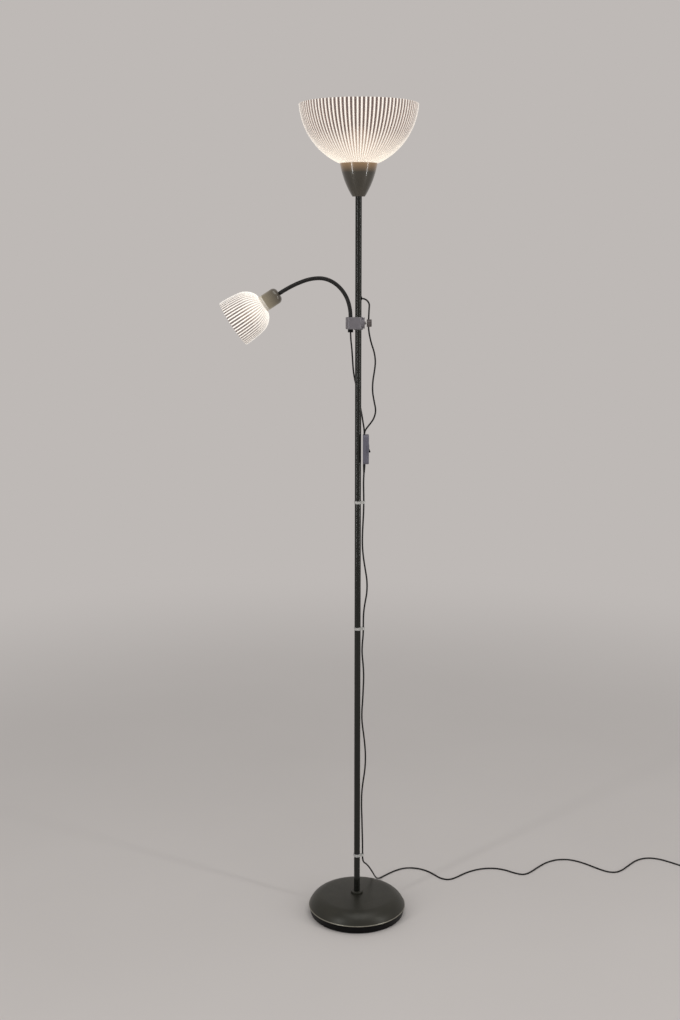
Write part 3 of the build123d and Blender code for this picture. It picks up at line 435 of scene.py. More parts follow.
# %% Route of the mains lead, from the switch to where the coil starts
floor_height = 1.85
mains_route = [
    (13.6, 0.0, 1052.0), (13.6, 0.0, 1036.0), (12.0, 0.6, 1008.0), (12.8, 0.0, 979.0),
    (12.8, 0.0, 948.0), (11.8, -0.6, 925.0), (10.3, -0.8, 896.0), (9.9, -0.4, 867.0),
    (12.6, 0.2, 838.0), (16.8, 0.8, 812.0), (21.0, 0.9, 786.0), (20.6, 0.5, 759.0),
    (16.2, 0.0, 736.0), (13.2, -0.3, 714.0), (12.8, 0.0, 692.0), (12.8, 0.0, 664.0),
    (10.7, 0.5, 644.0), (10.0, 0.9, 620.0), (12.8, 0.6, 594.0), (14.2, 0.2, 568.0),
    (13.2, -0.4, 541.0), (12.0, -0.6, 512.0), (10.1, -0.2, 486.0), (10.3, 0.0, 460.0),
    (14.2, 0.6, 432.0), (17.6, 1.0, 402.0), (19.0, 1.2, 372.0), (17.2, 0.8, 342.0),
    (12.9, 0.2, 315.0), (10.2, -0.3, 288.0), (10.0, -0.6, 259.0), (11.0, -0.3, 229.0),
    (11.8, 0.0, 198.0), (12.6, 0.2, 171.0), (12.8, 0.0, 151.0), (12.8, 0.0, 129.0),
    (15.6, 9.5, 117.0), (21.4, 30.0, 104.0), (29.6, 62.0, 80.0), (38.0, 97.0, 51.0),
    (45.4, 127.0, 24.0), (51.6, 149.0, 7.5), (61.0, 167.0, floor_height), (79.0, 187.0, floor_height),
    (99.0, 206.0, floor_height), (121.0, 219.0, floor_height), (146.0, 219.0, floor_height),
    (170.0, 208.0, floor_height), (189.0, 188.0, floor_height), (204.0, 164.0, floor_height),
    (223.0, 154.0, floor_height), (243.0, 165.0, floor_height), (268.0, 191.0, floor_height),
    (301.0, 212.0, floor_height), (338.0, 219.0, floor_height), (368.0, 209.0, floor_height),
    (391.0, 190.0, floor_height), (412.0, 181.0, floor_height), (431.0, 196.0, floor_height),
    (454.0, 225.0, floor_height), (480.0, 252.0, floor_height), (510.0, 267.0, floor_height),
    (542.0, 265.0, floor_height), (570.0, 246.0, floor_height), (595.0, 220.0, floor_height),
    (617.0, 199.0, floor_height), (638.0, 193.0, floor_height), (658.0, 206.0, floor_height),
    (680.0, 233.0, floor_height), (704.0, 261.0, floor_height), (733.0, 276.0, floor_height),
    (763.0, 270.0, floor_height), (789.0, 250.0, floor_height), (812.0, 229.0, floor_height),
    (832.0, 214.0, floor_height),
]
print("mains route:", len(mains_route), "points")

# %% [markdown]
# The photograph doesn't show where the mains lead ends. What it doesn't show is put away in a neat
# small coil just outside the picture, with the plug beside it. The coil is more points of the same
# curve, about a dozen to a turn: one turn on the floor, then one on top of it, which swings out
# over the place where the lead comes in.

# %% Wind the coil and lead out to the plug
plug_low, plug_high = [corner * 1000 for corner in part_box("plug_body")]
plug_y = (plug_low.y + plug_high.y) / 2
coil_radius = 18.0
run_in = (Vector(mains_route[-1]) - Vector(mains_route[-2])).normalized()
coil_centre = Vector(mains_route[-1]) + Vector((-run_in.y, run_in.x, 0)) * coil_radius
coil_start = atan2(-run_in.x, run_in.y)
points_per_turn = 13
# the curve runs a little inside its points where they turn, so they lie that much further out
inside_points = 0.983
# after this many turns, the lead is this far from the middle and this high above the floor
coil_shape = (
    (0.00, 18.0, 0.0), (0.15, 16.5, 0.0), (0.78, 16.4, 0.0), (0.93, 16.6, 2.4), (1.02, 16.6, 3.7),
    (1.75, 16.6, 3.7), (1.92, 20.0, 3.8), (2.02, 20.3, 3.6), (2.12, 20.3, 2.6),
)
for count in range(1, round(coil_shape[-1][0] * points_per_turn)):
    turns = count / points_per_turn
    after = next(index for index, step in enumerate(coil_shape) if step[0] >= turns)
    (turns_0, radius_0, rise_0), (turns_1, radius_1, rise_1) = coil_shape[after - 1:after + 1]
    share = (turns - turns_0) / (turns_1 - turns_0)
    radius = (radius_0 + share * (radius_1 - radius_0)) / inside_points
    angle = coil_start + 2 * pi * turns
    rise = rise_0 + share * (rise_1 - rise_0)
    mains_route.append(
        (coil_centre.x + radius * cos(angle), coil_centre.y + radius * sin(angle), floor_height + rise)
    )
sleeve_z, sleeve_rise = 3.45, 3.4
mains_route += [
    (coil_centre.x + 11.0, plug_y - 2.4, floor_height + 1.4),
    (coil_centre.x + 20.0, plug_y - 0.6, floor_height),
    (plug_low.x - 2.0, plug_y, sleeve_z),
    (plug_low.x + 12.0, plug_y, sleeve_z + sleeve_rise / 2),
    (plug_low.x + 26.0, plug_y, sleeve_z + sleeve_rise),
]
mains_lead = lead_curve("mains_lead", mains_route, lead_radius)
mains_line = followed(mains_lead)
mains_length = run_length(mains_line)
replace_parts(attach(mains_lead, "stand"), "lead_mains", "lead_coil")
print("mains lead:", round(mains_length, 3), "m in", len(mains_route), "points")

# %% [markdown]
# ## Strain reliefs
# Where the mains lead leaves the switch and the plug, a soft sleeve keeps it from being bent
# sharply. It tapers along the lead, and moulded rings let it give. Both sleeves are swept along
# the lead's own line, so that they curve with it.


# %% Mould the strain reliefs
def finer(line, step):
    """The same line with a point about every step metres, for a sleeve with rings."""
    fine = []
    for before, after in zip(line, line[1:]):
        parts = max(1, round((after - before).length / step))
        fine += [before.lerp(after, part / parts) for part in range(parts)]
    return fine + [line[-1]]


def ringed(share, thick, thin, rings, depth):
    """Radius of a tapered sleeve with moulded rings, from its thick end at 0 to its thin end at 1."""
    groove = depth * (0.5 - 0.5 * cos(2 * pi * rings * share)) if share < 0.97 else 0
    return thick + (thin - thick) * share - groove


fine_step = 0.0004
relief_end, relief_start = 1.026, 1.0495
switch_relief_line = finer(
    [point for point in mains_line if relief_end < point.z < relief_start], fine_step
)
switch_relief = sweep_ring(
    "switch_strain_relief", switch_relief_line, 0,
    radius_at=lambda share: ringed(share, 0.0034, 0.0024, 6, 0.0005),
)
plug_relief_length = 22
plug_relief_line = [
    Vector((plug_low.x, plug_y, sleeve_z)) / 1000,
    Vector((plug_low.x + plug_relief_length, plug_y, sleeve_z + sleeve_rise)) / 1000,
]
plug_relief = sweep_ring(
    "plug_strain_relief", finer(plug_relief_line, fine_step), 0,
    radius_at=lambda share: ringed(1 - share, 0.0050, 0.0034, 6, 0.0001) + 0.0001 * share,
)
for relief in (switch_relief, plug_relief):
    relief.data.materials.append(lead_finish.material)
    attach(relief, "stand")
print("strain reliefs:", round(run_length(switch_relief_line) * 1000), "and", plug_relief_length, "mm")

# %% [markdown]
# ## Finishes of the hard parts
# The hard parts keep their CAD shape and get a finish each. The base has a satin anthracite paint
# with a fine orange peel, and the pole a darker, smoother one that shows long streaks of light.
# The clamp, the knob and the switch are moulded plastic: an even colour, a fine grain from the
# mould and a gloss that comes and goes a little. Bare metal has more shine, and on bright steel
# the grain is stretched along the way it was drawn.


# %% Define how a finish is put on
def dress(finish, *names):
    """Give these CAD nodes a finish."""
    for name in names:
        for slot in nodes[name].material_slots:
            slot.material = finish.material
    print(finish.material.name, "on", len(names), "nodes")


# %% Paint the pole and the base
pole_parts = [f"pole_tube_{number}" for number in (1, 2, 3, 4)]
satin_paint = Finish("anthracite_satin").set(Metallic=0.3)
satin_paint.colour(satin_paint.noise(0.05), linear(38, 38, 31), linear(48, 47, 39))
satin_paint.gloss(satin_paint.noise(0.0025), 0.33, 0.45)
satin_paint.bump(satin_paint.noise(0.0011), 0.00005)
satin_paint.bump(satin_paint.noise(0.0003, detail=1), 0.00001)
dress(satin_paint, "base_collar")

pole_paint = Finish("anthracite_pole").set(Metallic=0.3)
pole_paint.colour(pole_paint.noise(0.08, stretch=(1, 1, 0.3)), linear(22, 23, 19), linear(29, 30, 25))
pole_paint.gloss(pole_paint.noise(0.03, stretch=(1, 1, 0.2)), 0.13, 0.17)
pole_paint.bump(pole_paint.noise(0.0011), 0.0000015)
dress(pole_paint, *pole_parts)

# %% [markdown]
# The two cups are glossier than the rest, and their lighter, browner tone is painted warm lamplight.
# The lit shade above each cup sheds warm light on its edge. Light that has come through clear
# plastic takes very long to render, so the paint itself carries that glow as painted light,
# strongest at the edge and gone a little way down.


# %% Paint the cup of the upper lamp
def gloss_with_painted_glow(name, low, high, edge, inward, reach, glow):
    """Gloss paint with a painted glow at the cup's edge, the light of the lit shade, less and less for
    this reach inward of it.
    """
    paint = Finish(name).set(Metallic=0.3, Coat_Weight=1.0, Coat_Roughness=0.05, Emission_Strength=1.0)
    paint.colour(paint.noise(0.03), low, high)
    paint.gloss(paint.noise(0.01), 0.3, 0.38)
    paint.bump(paint.noise(0.002), 0.000003)
    # painted light: this emission stands in for the shade's light falling on the cup's edge
    from_edge = paint.ramp(paint.along(edge, inward), 0.0, 1.0, 0.0, reach)
    paint.drive("Emission Color", paint.ramp(from_edge, glow, (0.0, 0.0, 0.0), 0.0, 1.0))
    return paint


cup_edge = (0, 0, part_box("top_cup")[1].z)
# the lighter, browner base colour is painted warm lamplight on the anthracite paint
top_gloss = gloss_with_painted_glow(
    "anthracite_gloss_painted_glow", linear(54, 49, 37), linear(62, 56, 43), cup_edge, (0, 0, -1), 0.019,
    (0.24, 0.14, 0.065),
)
dress(top_gloss, "top_cup")

# %% Mould the plastic parts
black_moulded = Finish("black_moulded").set(Specular_IOR_Level=0.12)
black_moulded.colour(black_moulded.noise(0.015), linear(4, 4, 4), linear(10, 9, 10))
black_moulded.gloss(black_moulded.noise(0.0015), 0.36, 0.5)
black_moulded.bump(black_moulded.noise(0.0006), 0.00004)
dress(black_moulded, "clamp_nut", "switch_rocker", "pole_grommet")

grey_moulded = Finish("grey_moulded").set(Coat_Weight=0.2, Coat_Roughness=0.2)
grey_moulded.colour(grey_moulded.noise(0.012), linear(108, 104, 109), linear(118, 114, 119))
grey_moulded.gloss(grey_moulded.noise(0.0015), 0.3, 0.4)
grey_moulded.bump(grey_moulded.noise(0.0006), 0.00003)
dress(grey_moulded, "clamp_body", "clamp_pad")

knob_moulded = Finish("knob_moulded")
knob_moulded.colour(knob_moulded.noise(0.008), linear(82, 75, 74), linear(92, 85, 83))
knob_moulded.gloss(knob_moulded.noise(0.0012), 0.35, 0.48)
knob_moulded.bump(knob_moulded.noise(0.0005), 0.00004)
dress(knob_moulded, "clamp_knob")

switch_moulded = Finish("switch_moulded")
switch_moulded.colour(switch_moulded.noise(0.012), linear(94, 92, 104), linear(103, 101, 113))
switch_moulded.gloss(switch_moulded.noise(0.0015), 0.38, 0.5)
switch_moulded.bump(switch_moulded.noise(0.0005), 0.00005)
dress(switch_moulded, "switch_base", "switch_cover")

nylon = Finish("nylon_liner")
nylon.colour(nylon.noise(0.01), linear(84, 83, 84), linear(95, 94, 95))
nylon.gloss(nylon.noise(0.002), 0.45, 0.6)
nylon.bump(nylon.noise(0.0008), 0.00003)
dress(nylon, "clamp_liner")

holder_moulded = Finish("holder_moulded")
holder_moulded.colour(holder_moulded.noise(0.012), linear(214, 206, 192), linear(224, 217, 204))
holder_moulded.gloss(holder_moulded.noise(0.002), 0.3, 0.45)
holder_moulded.bump(holder_moulded.noise(0.0008), 0.00003)
dress(holder_moulded, "top_holder", "top_shade_ring", "head_holder", "head_shade_ring")

plug_moulded = Finish("plug_moulded")
plug_moulded.colour(plug_moulded.noise(0.01), linear(24, 23, 24), linear(34, 32, 33))
plug_moulded.gloss(plug_moulded.noise(0.001), 0.4, 0.55)
plug_moulded.bump(plug_moulded.noise(0.0005), 0.00006)
dress(plug_moulded, "plug_body")

clear_clip = Finish("clip_clear").set(Transmission_Weight=0.35, IOR=1.46)
clear_clip.colour(clear_clip.noise(0.004), linear(205, 204, 200), linear(221, 220, 216))
clear_clip.gloss(clear_clip.noise(0.001), 0.25, 0.4)
clear_clip.bump(clear_clip.noise(0.0008), 0.00003)
dress(clear_clip, "lead_clip_1", "lead_clip_2", "lead_clip_3")

# %% Finish the bare metal and the felt
zinc = Finish("zinc_plated").set(Metallic=1.0)
zinc.colour(zinc.noise(0.006), linear(188, 190, 192), linear(208, 205, 196))
zinc.gloss(zinc.noise(0.0015), 0.28, 0.42)
zinc.bump(zinc.noise(0.0006), 0.00003)
dress(
    zinc, "base_washer", "base_nut", "base_stud", "pole_coupler_1", "pole_coupler_2", "pole_coupler_3",
    "top_nipple", "top_lock_nut", "head_nut",
)

bright_steel = Finish("bright_steel").set(Metallic=1.0)
bright_steel.colour(bright_steel.noise(0.004), linear(200, 200, 200), linear(216, 216, 214))
bright_steel.gloss(bright_steel.noise(0.0008, stretch=(0.1, 1, 1)), 0.16, 0.28)
bright_steel.bump(bright_steel.noise(0.0004, stretch=(0.1, 1, 1)), 0.00002)
dress(bright_steel, "switch_pin", "plug_pin_1", "plug_pin_2", "clamp_screw")

brass = Finish("brass").set(Metallic=1.0)
brass.colour(brass.noise(0.005), linear(205, 172, 105), linear(222, 190, 124))
brass.gloss(brass.noise(0.001), 0.2, 0.34)
brass.bump(brass.noise(0.0006), 0.00002)
dress(brass, "top_bulb_cap", "head_bulb_cap")

# A much darker brass on the insert that sits between the clamp and the knob.
dark_brass = Finish("brass_dark").set(Metallic=0.9)
dark_brass.colour(dark_brass.noise(0.002), linear(52, 42, 34), linear(78, 63, 46))
dark_brass.gloss(dark_brass.noise(0.001), 0.35, 0.5)
dark_brass.bump(dark_brass.noise(0.0006), 0.00003)
dress(dark_brass, "clamp_insert")

casting = Finish("cast_weight").set(Metallic=0.4)
casting.colour(casting.noise(0.004), linear(84, 82, 80), linear(112, 108, 104))
casting.gloss(casting.noise(0.003), 0.55, 0.8)
casting.bump(casting.noise(0.0016), 0.0003)
dress(casting, "base_weight")

felt = Finish("black_felt").set(Sheen_Weight=0.3, Sheen_Roughness=0.5, Specular_IOR_Level=0.1)
felt.colour(felt.noise(0.0012, detail=6), linear(30, 30, 31), linear(52, 51, 52))
felt.gloss(felt.noise(0.002), 0.88, 1.0)
felt.bump(felt.noise(0.0006, detail=6), 0.0004)
dress(felt, "base_felt")

# %% [markdown]
# ## The bulbs
# Both lamps are on in the photograph. Opal bulbs glow evenly and warmly, a little brighter across
# their middle, where one looks straight into the glass. The glow stays below white, so that the
# bulbs keep their shape when somebody looks into a shade.

# %% Light the bulbs
opal = Finish("bulb_opal").set(Roughness=0.25, Emission_Strength=1.0)
opal.colour(opal.noise(0.02), linear(240, 234, 222), linear(246, 240, 228))
edge_on = opal.tree.nodes.new("ShaderNodeLayerWeight").outputs["Facing"]
middle_glow, edge_glow = (0.78, 0.66, 0.5), (0.6, 0.47, 0.32)
opal.drive("Emission Color", opal.ramp(edge_on, middle_glow, edge_glow, 0.2, 0.9))
dress(opal, "top_bulb_glass", "head_bulb_glass")

# %% [markdown]
# ## The ribbed shades
# The shades are what one sees first: clear bowls with fine ribs down the outside. The light of the
# bulb runs up inside each rib, so that the ribs glow and the valleys between them stay clear and
# dark; the finish paints that in, with painted light glowing on the ribs and at the foot and painted
# shade in the valleys. They could be modelled as one rib and copied round, but then the ribs only
# stand on the bowl. Real ones are one casting, so the outline of the wall is spun in small steps, and
# after that the outside is moved out wherever a rib runs. The rim comes out scalloped, as it should.


# %% Define how an outline is drawn
def swept(shape, vertex, centre, angle, steps):
    """Carry a vertex along an arc in the X-Z plane, up from +X if the angle is positive."""
    arc = bmesh.ops.spin(
        shape, geom=[vertex], cent=(centre[0], 0, centre[1]), dvec=(0, 0, 0), axis=(0, -1, 0),
        angle=angle, steps=steps, use_merge=False, use_duplicate=False,
    )
    return next(item for item in arc["geom_last"] if isinstance(item, bmesh.types.BMVert))


def drawn_to(shape, vertex, x, z):
    """Draw a straight line on from a vertex, and return the vertex at its end."""
    end = bmesh.ops.extrude_vert_indiv(shape, verts=[vertex])["verts"][0]
    end.co = (x, 0, z)
    return end


def spun(shape, steps):
    """Spin a closed outline once round the Z axis."""
    bmesh.ops.spin(
        shape, geom=shape.verts[:] + shape.edges[:], cent=(0, 0, 0), dvec=(0, 0, 0), axis=(0, 0, 1),
        angle=2 * pi, steps=steps, use_merge=True, use_duplicate=False,
    )
    bmesh.ops.remove_doubles(shape, verts=shape.verts, dist=1e-7)
    bmesh.ops.recalc_face_normals(shape, faces=shape.faces)


def placed(name, shape, matrix, smooth=True):
    """Scale a shape drawn in millimetres to metres, put it in its place and link its object."""
    bmesh.ops.transform(shape, matrix=matrix @ Matrix.Scale(0.001, 4), verts=shape.verts)
    mesh = bpy.data.meshes.new(name)
    shape.to_mesh(mesh)
    shape.free()
    if smooth:
        mesh.shade_smooth()
    made = bpy.data.objects.new(name, mesh)
    scene.collection.objects.link(made)
    return made


# %% Define how a ribbed shade is made
def ribbed_shade(name, arcs, foot, rim, floor_thick, wall, bore, rib_height, rib_count, rib_share, matrix):
    """A bowl with ribs. Its arcs, from foot to rim, are ((x, z) of the centre, radius, end angle).
    rib_share is half the width of a rib at the foot and at the rim, as a share of the rib spacing."""
    shape = bmesh.new()
    first_centre, first_radius, _ = arcs[0]
    reach = first_radius - rib_height
    angle = asin((foot - first_centre[1]) / reach)
    start = vertex = shape.verts.new(
        (first_centre[0] + reach * cos(angle), 0, first_centre[1] + reach * sin(angle))
    )
    last_centre, last_radius, _ = arcs[-1]
    rim_middle = last_radius - rib_height - wall / 2
    rim_angle = asin((rim - wall / 2 - last_centre[1]) / rim_middle)
    ends = [end for _, _, end in arcs[:-1]]
    for (centre, radius, _), end in zip(arcs, ends + [rim_angle]):
        vertex = swept(shape, vertex, centre, end - angle, max(8, round(abs(end - angle) * radius / 5)))
        angle = end
    rim_point = (
        last_centre[0] + rim_middle * cos(rim_angle), last_centre[1] + rim_middle * sin(rim_angle)
    )
    vertex = swept(shape, vertex, rim_point, pi, 6)
    inner_foot = foot + floor_thick
    starts = [asin((inner_foot - first_centre[1]) / (reach - wall))] + ends
    for (centre, radius, _), end in zip(reversed(arcs), reversed(starts)):
        vertex = swept(shape, vertex, centre, end - angle, max(6, round(abs(end - angle) * radius / 8)))
        angle = end
    vertex = drawn_to(shape, vertex, bore + 2, inner_foot)
    vertex = drawn_to(shape, vertex, bore, inner_foot)
    vertex = drawn_to(shape, vertex, bore, foot)
    vertex = drawn_to(shape, vertex, bore + 2, foot)
    shape.edges.new((vertex, start))
    steps_per_rib = 8
    spun(shape, rib_count * steps_per_rib)

    crest_number = shape.verts.layers.float.new("crest")
    foot_number = shape.verts.layers.float.new("foot")
    for vertex in shape.verts:
        across, height = vertex.co.xy.length, vertex.co.z
        on_first = len(arcs) == 1 or height < first_centre[1] + first_radius * sin(arcs[0][2])
        centre, radius, _ = arcs[0 if on_first else -1]
        away = Vector((across - centre[0], height - centre[1]))
        outside = (away.length - (radius - rib_height - wall / 2)) / (wall / 2)
        outside = min(1, max(0, outside)) if height > foot + 0.01 else 0
        up_the_side = (height - foot) / (rim - foot)
        turned = vertex.co.xy.angle_signed(Vector((1, 0))) / (2 * pi) * rib_count
        from_crest = abs(turned - round(turned))
        half_width = rib_share[0] + (rib_share[1] - rib_share[0]) * up_the_side
        crest = cos(pi / 2 * min(1, from_crest / half_width)) ** 2
        # over the lowest 2 mm the ribs rise from nothing
        moved = away.normalized() * rib_height * outside * crest * min(1, (height - foot) / 2)
        outward = vertex.co.xy / across
        vertex.co.x += outward.x * moved.x
        vertex.co.y += outward.y * moved.x
        vertex.co.z += moved.y
        vertex[crest_number] = crest
        vertex[foot_number] = 1 - up_the_side
    bmesh.ops.recalc_face_normals(shape, faces=shape.faces)
    print(name, "has", len(shape.faces), "faces and", rib_count, "ribs")
    return placed(name, shape, matrix)


# %% Make the clear ribbed finish
def ribbed_finish(name, valley_painted_shade, crest_painted_glow, foot_painted_glow):
    """Clear plastic with painted shade in the valleys, painted light glowing on the ribs and the most of
    it at the foot.
    """
    clear = Finish(name).set(IOR=1.2, Emission_Strength=1.0)
    on_rib, at_foot = clear.attribute("crest"), clear.attribute("foot")
    # Painted light and shade: the crests get a pale base colour and a glow, the valleys a dark base
    # colour, and the foot glows most, for the bulb's light in the ribs.
    clear.drive("Transmission Weight", clear.ramp(on_rib, 0.6, 0.12, 0.15, 0.8))
    clear.colour(on_rib, valley_painted_shade, (0.86, 0.83, 0.79), 0.1, 0.7)
    on_side = clear.ramp(on_rib, (0.0, 0.0, 0.0), crest_painted_glow, 0.2, 0.75)
    whole_foot = clear.ramp(on_rib, tuple(0.75 * value for value in foot_painted_glow), foot_painted_glow, 0.1, 0.7)
    clear.drive("Emission Color", clear.mix(clear.ramp(at_foot, 0.0, 1.0, 0.5, 1.0), on_side, whole_foot))
    clear.gloss(clear.noise(0.01), 0.1, 0.2)
    clear.bump(clear.noise(0.004), 0.00003)
    return clear


bowl_clear = ribbed_finish(
    "ribbed_clear_bowl", valley_painted_shade=(0.3, 0.23, 0.21), crest_painted_glow=(0.4, 0.36, 0.32),
    foot_painted_glow=(0.5, 0.46, 0.39),
)
reading_clear = ribbed_finish(
    "ribbed_clear_reading", valley_painted_shade=(0.36, 0.31, 0.29), crest_painted_glow=(0.44, 0.42, 0.39),
    foot_painted_glow=(0.48, 0.46, 0.42),
)


# %% Spin the bowl of the upper lamp
def arc_centre(low, high, radius):
    """Middle of the arc from low to high that bulges outwards and down."""
    low, high = Vector(low), Vector(high)
    along = high - low
    inward = Vector((-along.y, along.x)).normalized()
    return (low + high) / 2 + inward * sqrt(radius**2 - along.length_squared / 4)


lamp_top = 1800.0
bowl_foot = lamp_top - 119.5
foot_radius, rim_radius, bowl_bulge = 40.0, 124.5, 140.0
bowl_centre = arc_centre((foot_radius, bowl_foot), (rim_radius, lamp_top), bowl_bulge)
bowl = ribbed_shade(
    "bowl_ribbed", [(bowl_centre, bowl_bulge, None)], bowl_foot, lamp_top, floor_thick=2.6, wall=2.2,
    bore=19.83, rib_height=1.3, rib_count=90, rib_share=(0.46, 0.37), matrix=Matrix.Identity(4),
)
bowl.data.materials.append(bowl_clear.material)
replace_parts(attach(bowl, "stand"), "top_shade")

# %% [markdown]
# ## The tray and the cover of the base
# The photographed base has no hard shoulder. Its sheet metal cover rises steeply from a small
# rolled lip, turns over in one generous curve and is nearly flat in the middle. The outline is two
# arcs that run into each other, drawn once outside and once inside the sheet, and spun. The lip
# catches a thin line of light, and that highlight is painted: its faces get a brighter finish.
# Below the lip, the black plastic tray draws in towards the floor, so that the base seems to
# float. It holds the weight and closes the base from below.

# %% Spin the tray of the base
tray = bmesh.new()
vertex = tray.verts.new((0, 0, 1.5))
for x, z in (
    (60.0, 1.5), (104.2, 1.5), (106.0, 2.1), (106.8, 3.4), (109.9, 16.2), (110.2, 18.4),
    (108.6, 18.4), (105.7, 3.5), (60.0, 3.5), (0.0, 3.5),
):
    vertex = drawn_to(tray, vertex, x, z)
base_steps = 160
spun(tray, base_steps)
base_tray = placed("base_tray_drawn_in", tray, Matrix.Identity(4), smooth=False)
base_tray.data.materials.append(black_moulded.material)
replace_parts(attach(base_tray, "stand"), "base_tray")
print("tray spun,", len(base_tray.data.polygons), "faces")

# %% Spin the cover of the base
cover = bmesh.new()
dome_top, hole_radius, sheet = 48.0, 6.93, 1.2
shoulder_radius, shoulder_centre, shoulder_foot = 35.5, (76.0, 9.8), 20.6
crown_radius = 1144.0
crown_centre = (0.0, dome_top - crown_radius)
lip_angle, turn_angle = asin((shoulder_foot - shoulder_centre[1]) / shoulder_radius), radians(86)
crown_angle = pi / 2 - asin(hole_radius / crown_radius)
start = vertex = cover.verts.new((108.8, 0, 18.5))
for x, z in ((110.5, 18.6), (111.0, 19.2), (110.9, 20.0)):
    vertex = drawn_to(cover, vertex, x, z)
vertex = drawn_to(cover, vertex, shoulder_centre[0] + shoulder_radius * cos(lip_angle), shoulder_foot)
vertex = swept(cover, vertex, shoulder_centre, turn_angle - lip_angle, 20)
vertex = swept(cover, vertex, crown_centre, crown_angle - turn_angle, 16)
vertex = drawn_to(cover, vertex, hole_radius, dome_top - sheet)
vertex = swept(cover, vertex, crown_centre, turn_angle - crown_angle, 8)
vertex = swept(cover, vertex, shoulder_centre, lip_angle - turn_angle, 12)
cover.edges.new((vertex, start))
spun(cover, base_steps)
base_dome = placed("base_cover_dome", cover, Matrix.Identity(4))
base_dome.data.materials.append(satin_paint.material)
# Painted highlight: the lip's faces get a brighter, shinier finish for the thin line of light they catch.
lip_painted_highlight = Finish("lip_highlight_painted").set(Metallic=0.7)
lip_painted_highlight.colour(lip_painted_highlight.noise(0.012), linear(128, 126, 115), linear(150, 147, 136))
lip_painted_highlight.gloss(lip_painted_highlight.noise(0.003), 0.26, 0.36)
lip_painted_highlight.bump(lip_painted_highlight.noise(0.0011), 0.00001)
base_dome.data.materials.append(lip_painted_highlight.material)
lip_top, lip_inside = 0.0204, 0.1098
for face in base_dome.data.polygons:
    if face.center.z < lip_top and face.center.xy.length > lip_inside:
        face.material_index = 1
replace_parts(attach(base_dome, "stand"), "base_cover")
print("cover spun,", len(base_dome.data.polygons), "faces")

# %% [markdown]
# ## The gooseneck
# The arm of the reading light is a coiled steel tube in a black sleeve that keeps the bend it is
# given. In CAD it is a chain of seven short links, so that it can move. Here it is one smooth tube
# again, with the fine rings that the coil presses into its sleeve. It is cut in the middle of
# each link, because a piece can bend with one joint only, and the cuts lie in a groove.


# %% Find the line of the gooseneck
# where it leaves the clamp, in X and Z, how long a link is, and how many degrees each link turns it
neck_start = (-16.6, 1363.5)
neck_link = 29.78
neck_turns = (16.0, 22.0, 24.0, 30.0, 17.0, 8.0, 6.0)


def neck_place(distance):
    """Where the gooseneck's middle is, this far from the clamp, as a matrix that looks along it."""
    x, z = neck_start
    heading = pi / 2
    for turn in neck_turns:
        step = min(distance, neck_link)
        bend_radius = neck_link / radians(turn)
        ahead = heading + step / bend_radius
        x += bend_radius * (sin(ahead) - sin(heading))
        z += bend_radius * (cos(heading) - cos(ahead))
        heading = ahead
        distance -= step
        if distance <= 0:
            break
    along = Vector((cos(heading), 0, sin(heading)))
    side = Vector((0, 1, 0))
    turned = Matrix((side, along.cross(side), along)).transposed().to_4x4()
    return Matrix.Translation(Vector((x, 0, z))) @ turned


neck_length = neck_link * len(neck_turns)
print("gooseneck", round(neck_length, 2), "mm, ends at", tuple(neck_place(neck_length).translation))

# %% Sleeve the gooseneck
sleeve_finish = Finish("neck_sleeve").set(Specular_IOR_Level=0.35)
sleeve_finish.colour(sleeve_finish.noise(0.01), linear(8, 7, 6), linear(16, 14, 12))
sleeve_finish.gloss(sleeve_finish.noise(0.002), 0.4, 0.52)
sleeve_finish.bump(sleeve_finish.noise(0.0007), 0.00005)
rings_per_link = 12
ring_pitch = neck_link / rings_per_link
# how far along one ring of the sleeve, and how thick it is there
ring_outline = ((0.0, 4.0), (0.2, 4.26), (0.5, 4.3), (0.8, 4.26))


def neck_sleeve(name, first_ring, last_ring):
    """A closed stretch of the sleeve, ring by ring."""
    shape = bmesh.new()
    outline = [
        (ring_pitch * (ring + along), radius)
        for ring in range(first_ring, last_ring) for along, radius in ring_outline
    ] + [(ring_pitch * last_ring, ring_outline[0][1])]
    circle = bmesh.ops.create_circle(shape, cap_ends=True, radius=1, segments=24)["verts"]
    edges = list(shape.edges)
    before = Matrix.Identity(4)
    for distance, radius in outline:
        if distance > outline[0][0]:
            grown = bmesh.ops.extrude_edge_only(shape, edges=edges)["geom"]
            circle = [item for item in grown if isinstance(item, bmesh.types.BMVert)]
            edges = [
                item for item in grown
                if isinstance(item, bmesh.types.BMEdge) and all(vertex in circle for vertex in item.verts)
            ]
        here = neck_place(distance) @ Matrix.Diagonal((radius, radius, 1, 1))
        bmesh.ops.transform(shape, matrix=here @ before.inverted(), verts=circle)
        before = here
    bmesh.ops.contextual_create(shape, geom=edges)
    bmesh.ops.recalc_face_normals(shape, faces=shape.faces)
    made = placed(name, shape, Matrix.Identity(4))
    made.data.materials.append(sleeve_finish.material)
    return made


def neck_point(distance):
    return neck_place(distance).translation / 1000


neck_bodies = ["clamp_turn", "neck_2", "neck_3", "neck_4", "neck_5", "neck_6", "reading_head"]
half_link = rings_per_link // 2
ring_count = rings_per_link * len(neck_turns)
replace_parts(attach(neck_sleeve("neck_sleeve_foot", 0, half_link), "clamp_turn"), "gooseneck_1")
for number, (lower_body, upper_body) in enumerate(zip(neck_bodies, neck_bodies[1:]), start=1):
    joint_ring = rings_per_link * number
    sleeve = neck_sleeve(f"neck_sleeve_{number}", joint_ring - half_link, joint_ring + half_link)
    neck_point(neck_link * (number - 0.5))
    neck_point(neck_link * (number + 0.5))
    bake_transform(sleeve)
    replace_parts(sleeve, f"gooseneck_{number + 1}")
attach(neck_sleeve("neck_sleeve_end", ring_count - half_link, ring_count), "reading_head")
print("sleeve in", len(neck_bodies) + 1, "pieces with", ring_count, "rings")

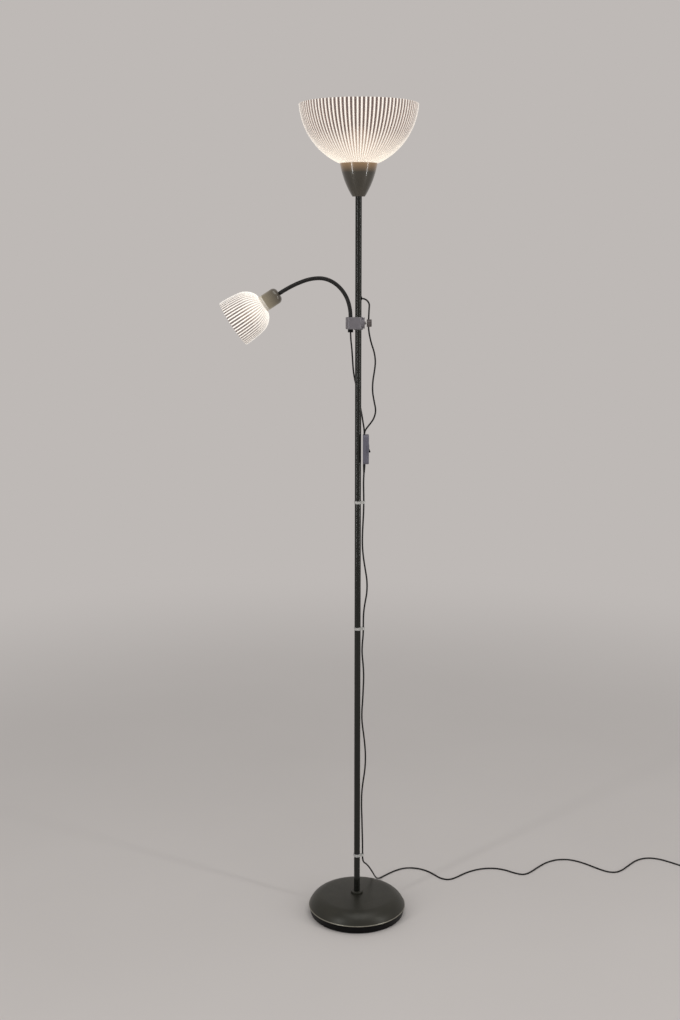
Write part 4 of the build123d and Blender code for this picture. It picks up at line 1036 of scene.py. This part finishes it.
# %% Turn the threaded tail of the gooseneck
tail = bmesh.new()
tail_foot, tail_top = 1331.3, 1345.0
tail_bore, thread_root, thread_crest = 2.05, 3.2, 3.6
threads = 14
pitch = (tail_top - tail_foot) / threads
vertex = start = tail.verts.new((tail_bore, 0, tail_foot))
vertex = drawn_to(tail, vertex, thread_root, tail_foot)
for thread in range(threads):
    vertex = drawn_to(tail, vertex, thread_crest, tail_foot + pitch * (thread + 0.5))
    vertex = drawn_to(tail, vertex, thread_root, tail_foot + pitch * (thread + 1))
vertex = drawn_to(tail, vertex, tail_bore, tail_top)
tail.edges.new((vertex, start))
spun(tail, 32)
neck_tail = placed("neck_tail", tail, Matrix.Translation((neck_start[0] / 1000, 0, 0)), smooth=False)
neck_tail.data.materials.append(zinc.material)
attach(neck_tail, "clamp_turn")
print("tail from", tail_foot, "to", tail_top, "mm")

# %% [markdown]
# The shade of the reading light is a small brother of the bowl, with a rounder shoulder. It is
# spun upright in the same way, and then tipped onto the slanting end of the gooseneck.

# %% Spin the shade of the reading light
head_place = neck_place(neck_length)
head_place.translation /= 1000
shade_foot = 41.2
shade_rim = shade_foot + 76.8
rim_radius, below_rim = 52.0, 46.0
long_radius, short_radius = 260.0, 40.4
long_centre = Vector((rim_radius - long_radius, shade_rim))
join = -asin(below_rim / long_radius)
short_centre = long_centre + Vector((cos(join), sin(join))) * (long_radius - short_radius)
reading_shade = ribbed_shade(
    "reading_shade_ribbed", [(short_centre, short_radius, join), (long_centre, long_radius, None)],
    shade_foot, shade_rim, floor_thick=2.0, wall=1.8, bore=14.03, rib_height=1.1, rib_count=48,
    rib_share=(0.46, 0.38), matrix=head_place,
)
reading_shade.data.materials.append(reading_clear.material)
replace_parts(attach(reading_shade, "reading_head"), "head_shade")
to_shade = head_place.to_3x3() @ Vector((0, 0, 1))
cap_length = 0.0395
cap_edge = head_place.translation + to_shade * cap_length
# Its paint is a little lighter than the upper cup's: painted light from its own shade, with the painted
# glow at its edge.
reading_gloss = gloss_with_painted_glow(
    "reading_cup_gloss_painted_glow", linear(58, 52, 42), linear(67, 60, 49), cap_edge, -to_shade, 0.038,
    (0.22, 0.185, 0.125),
)
dress(reading_gloss, "head_cap")
print("reading shade tipped to", round(degrees(head_place.to_euler().y)), "degrees")
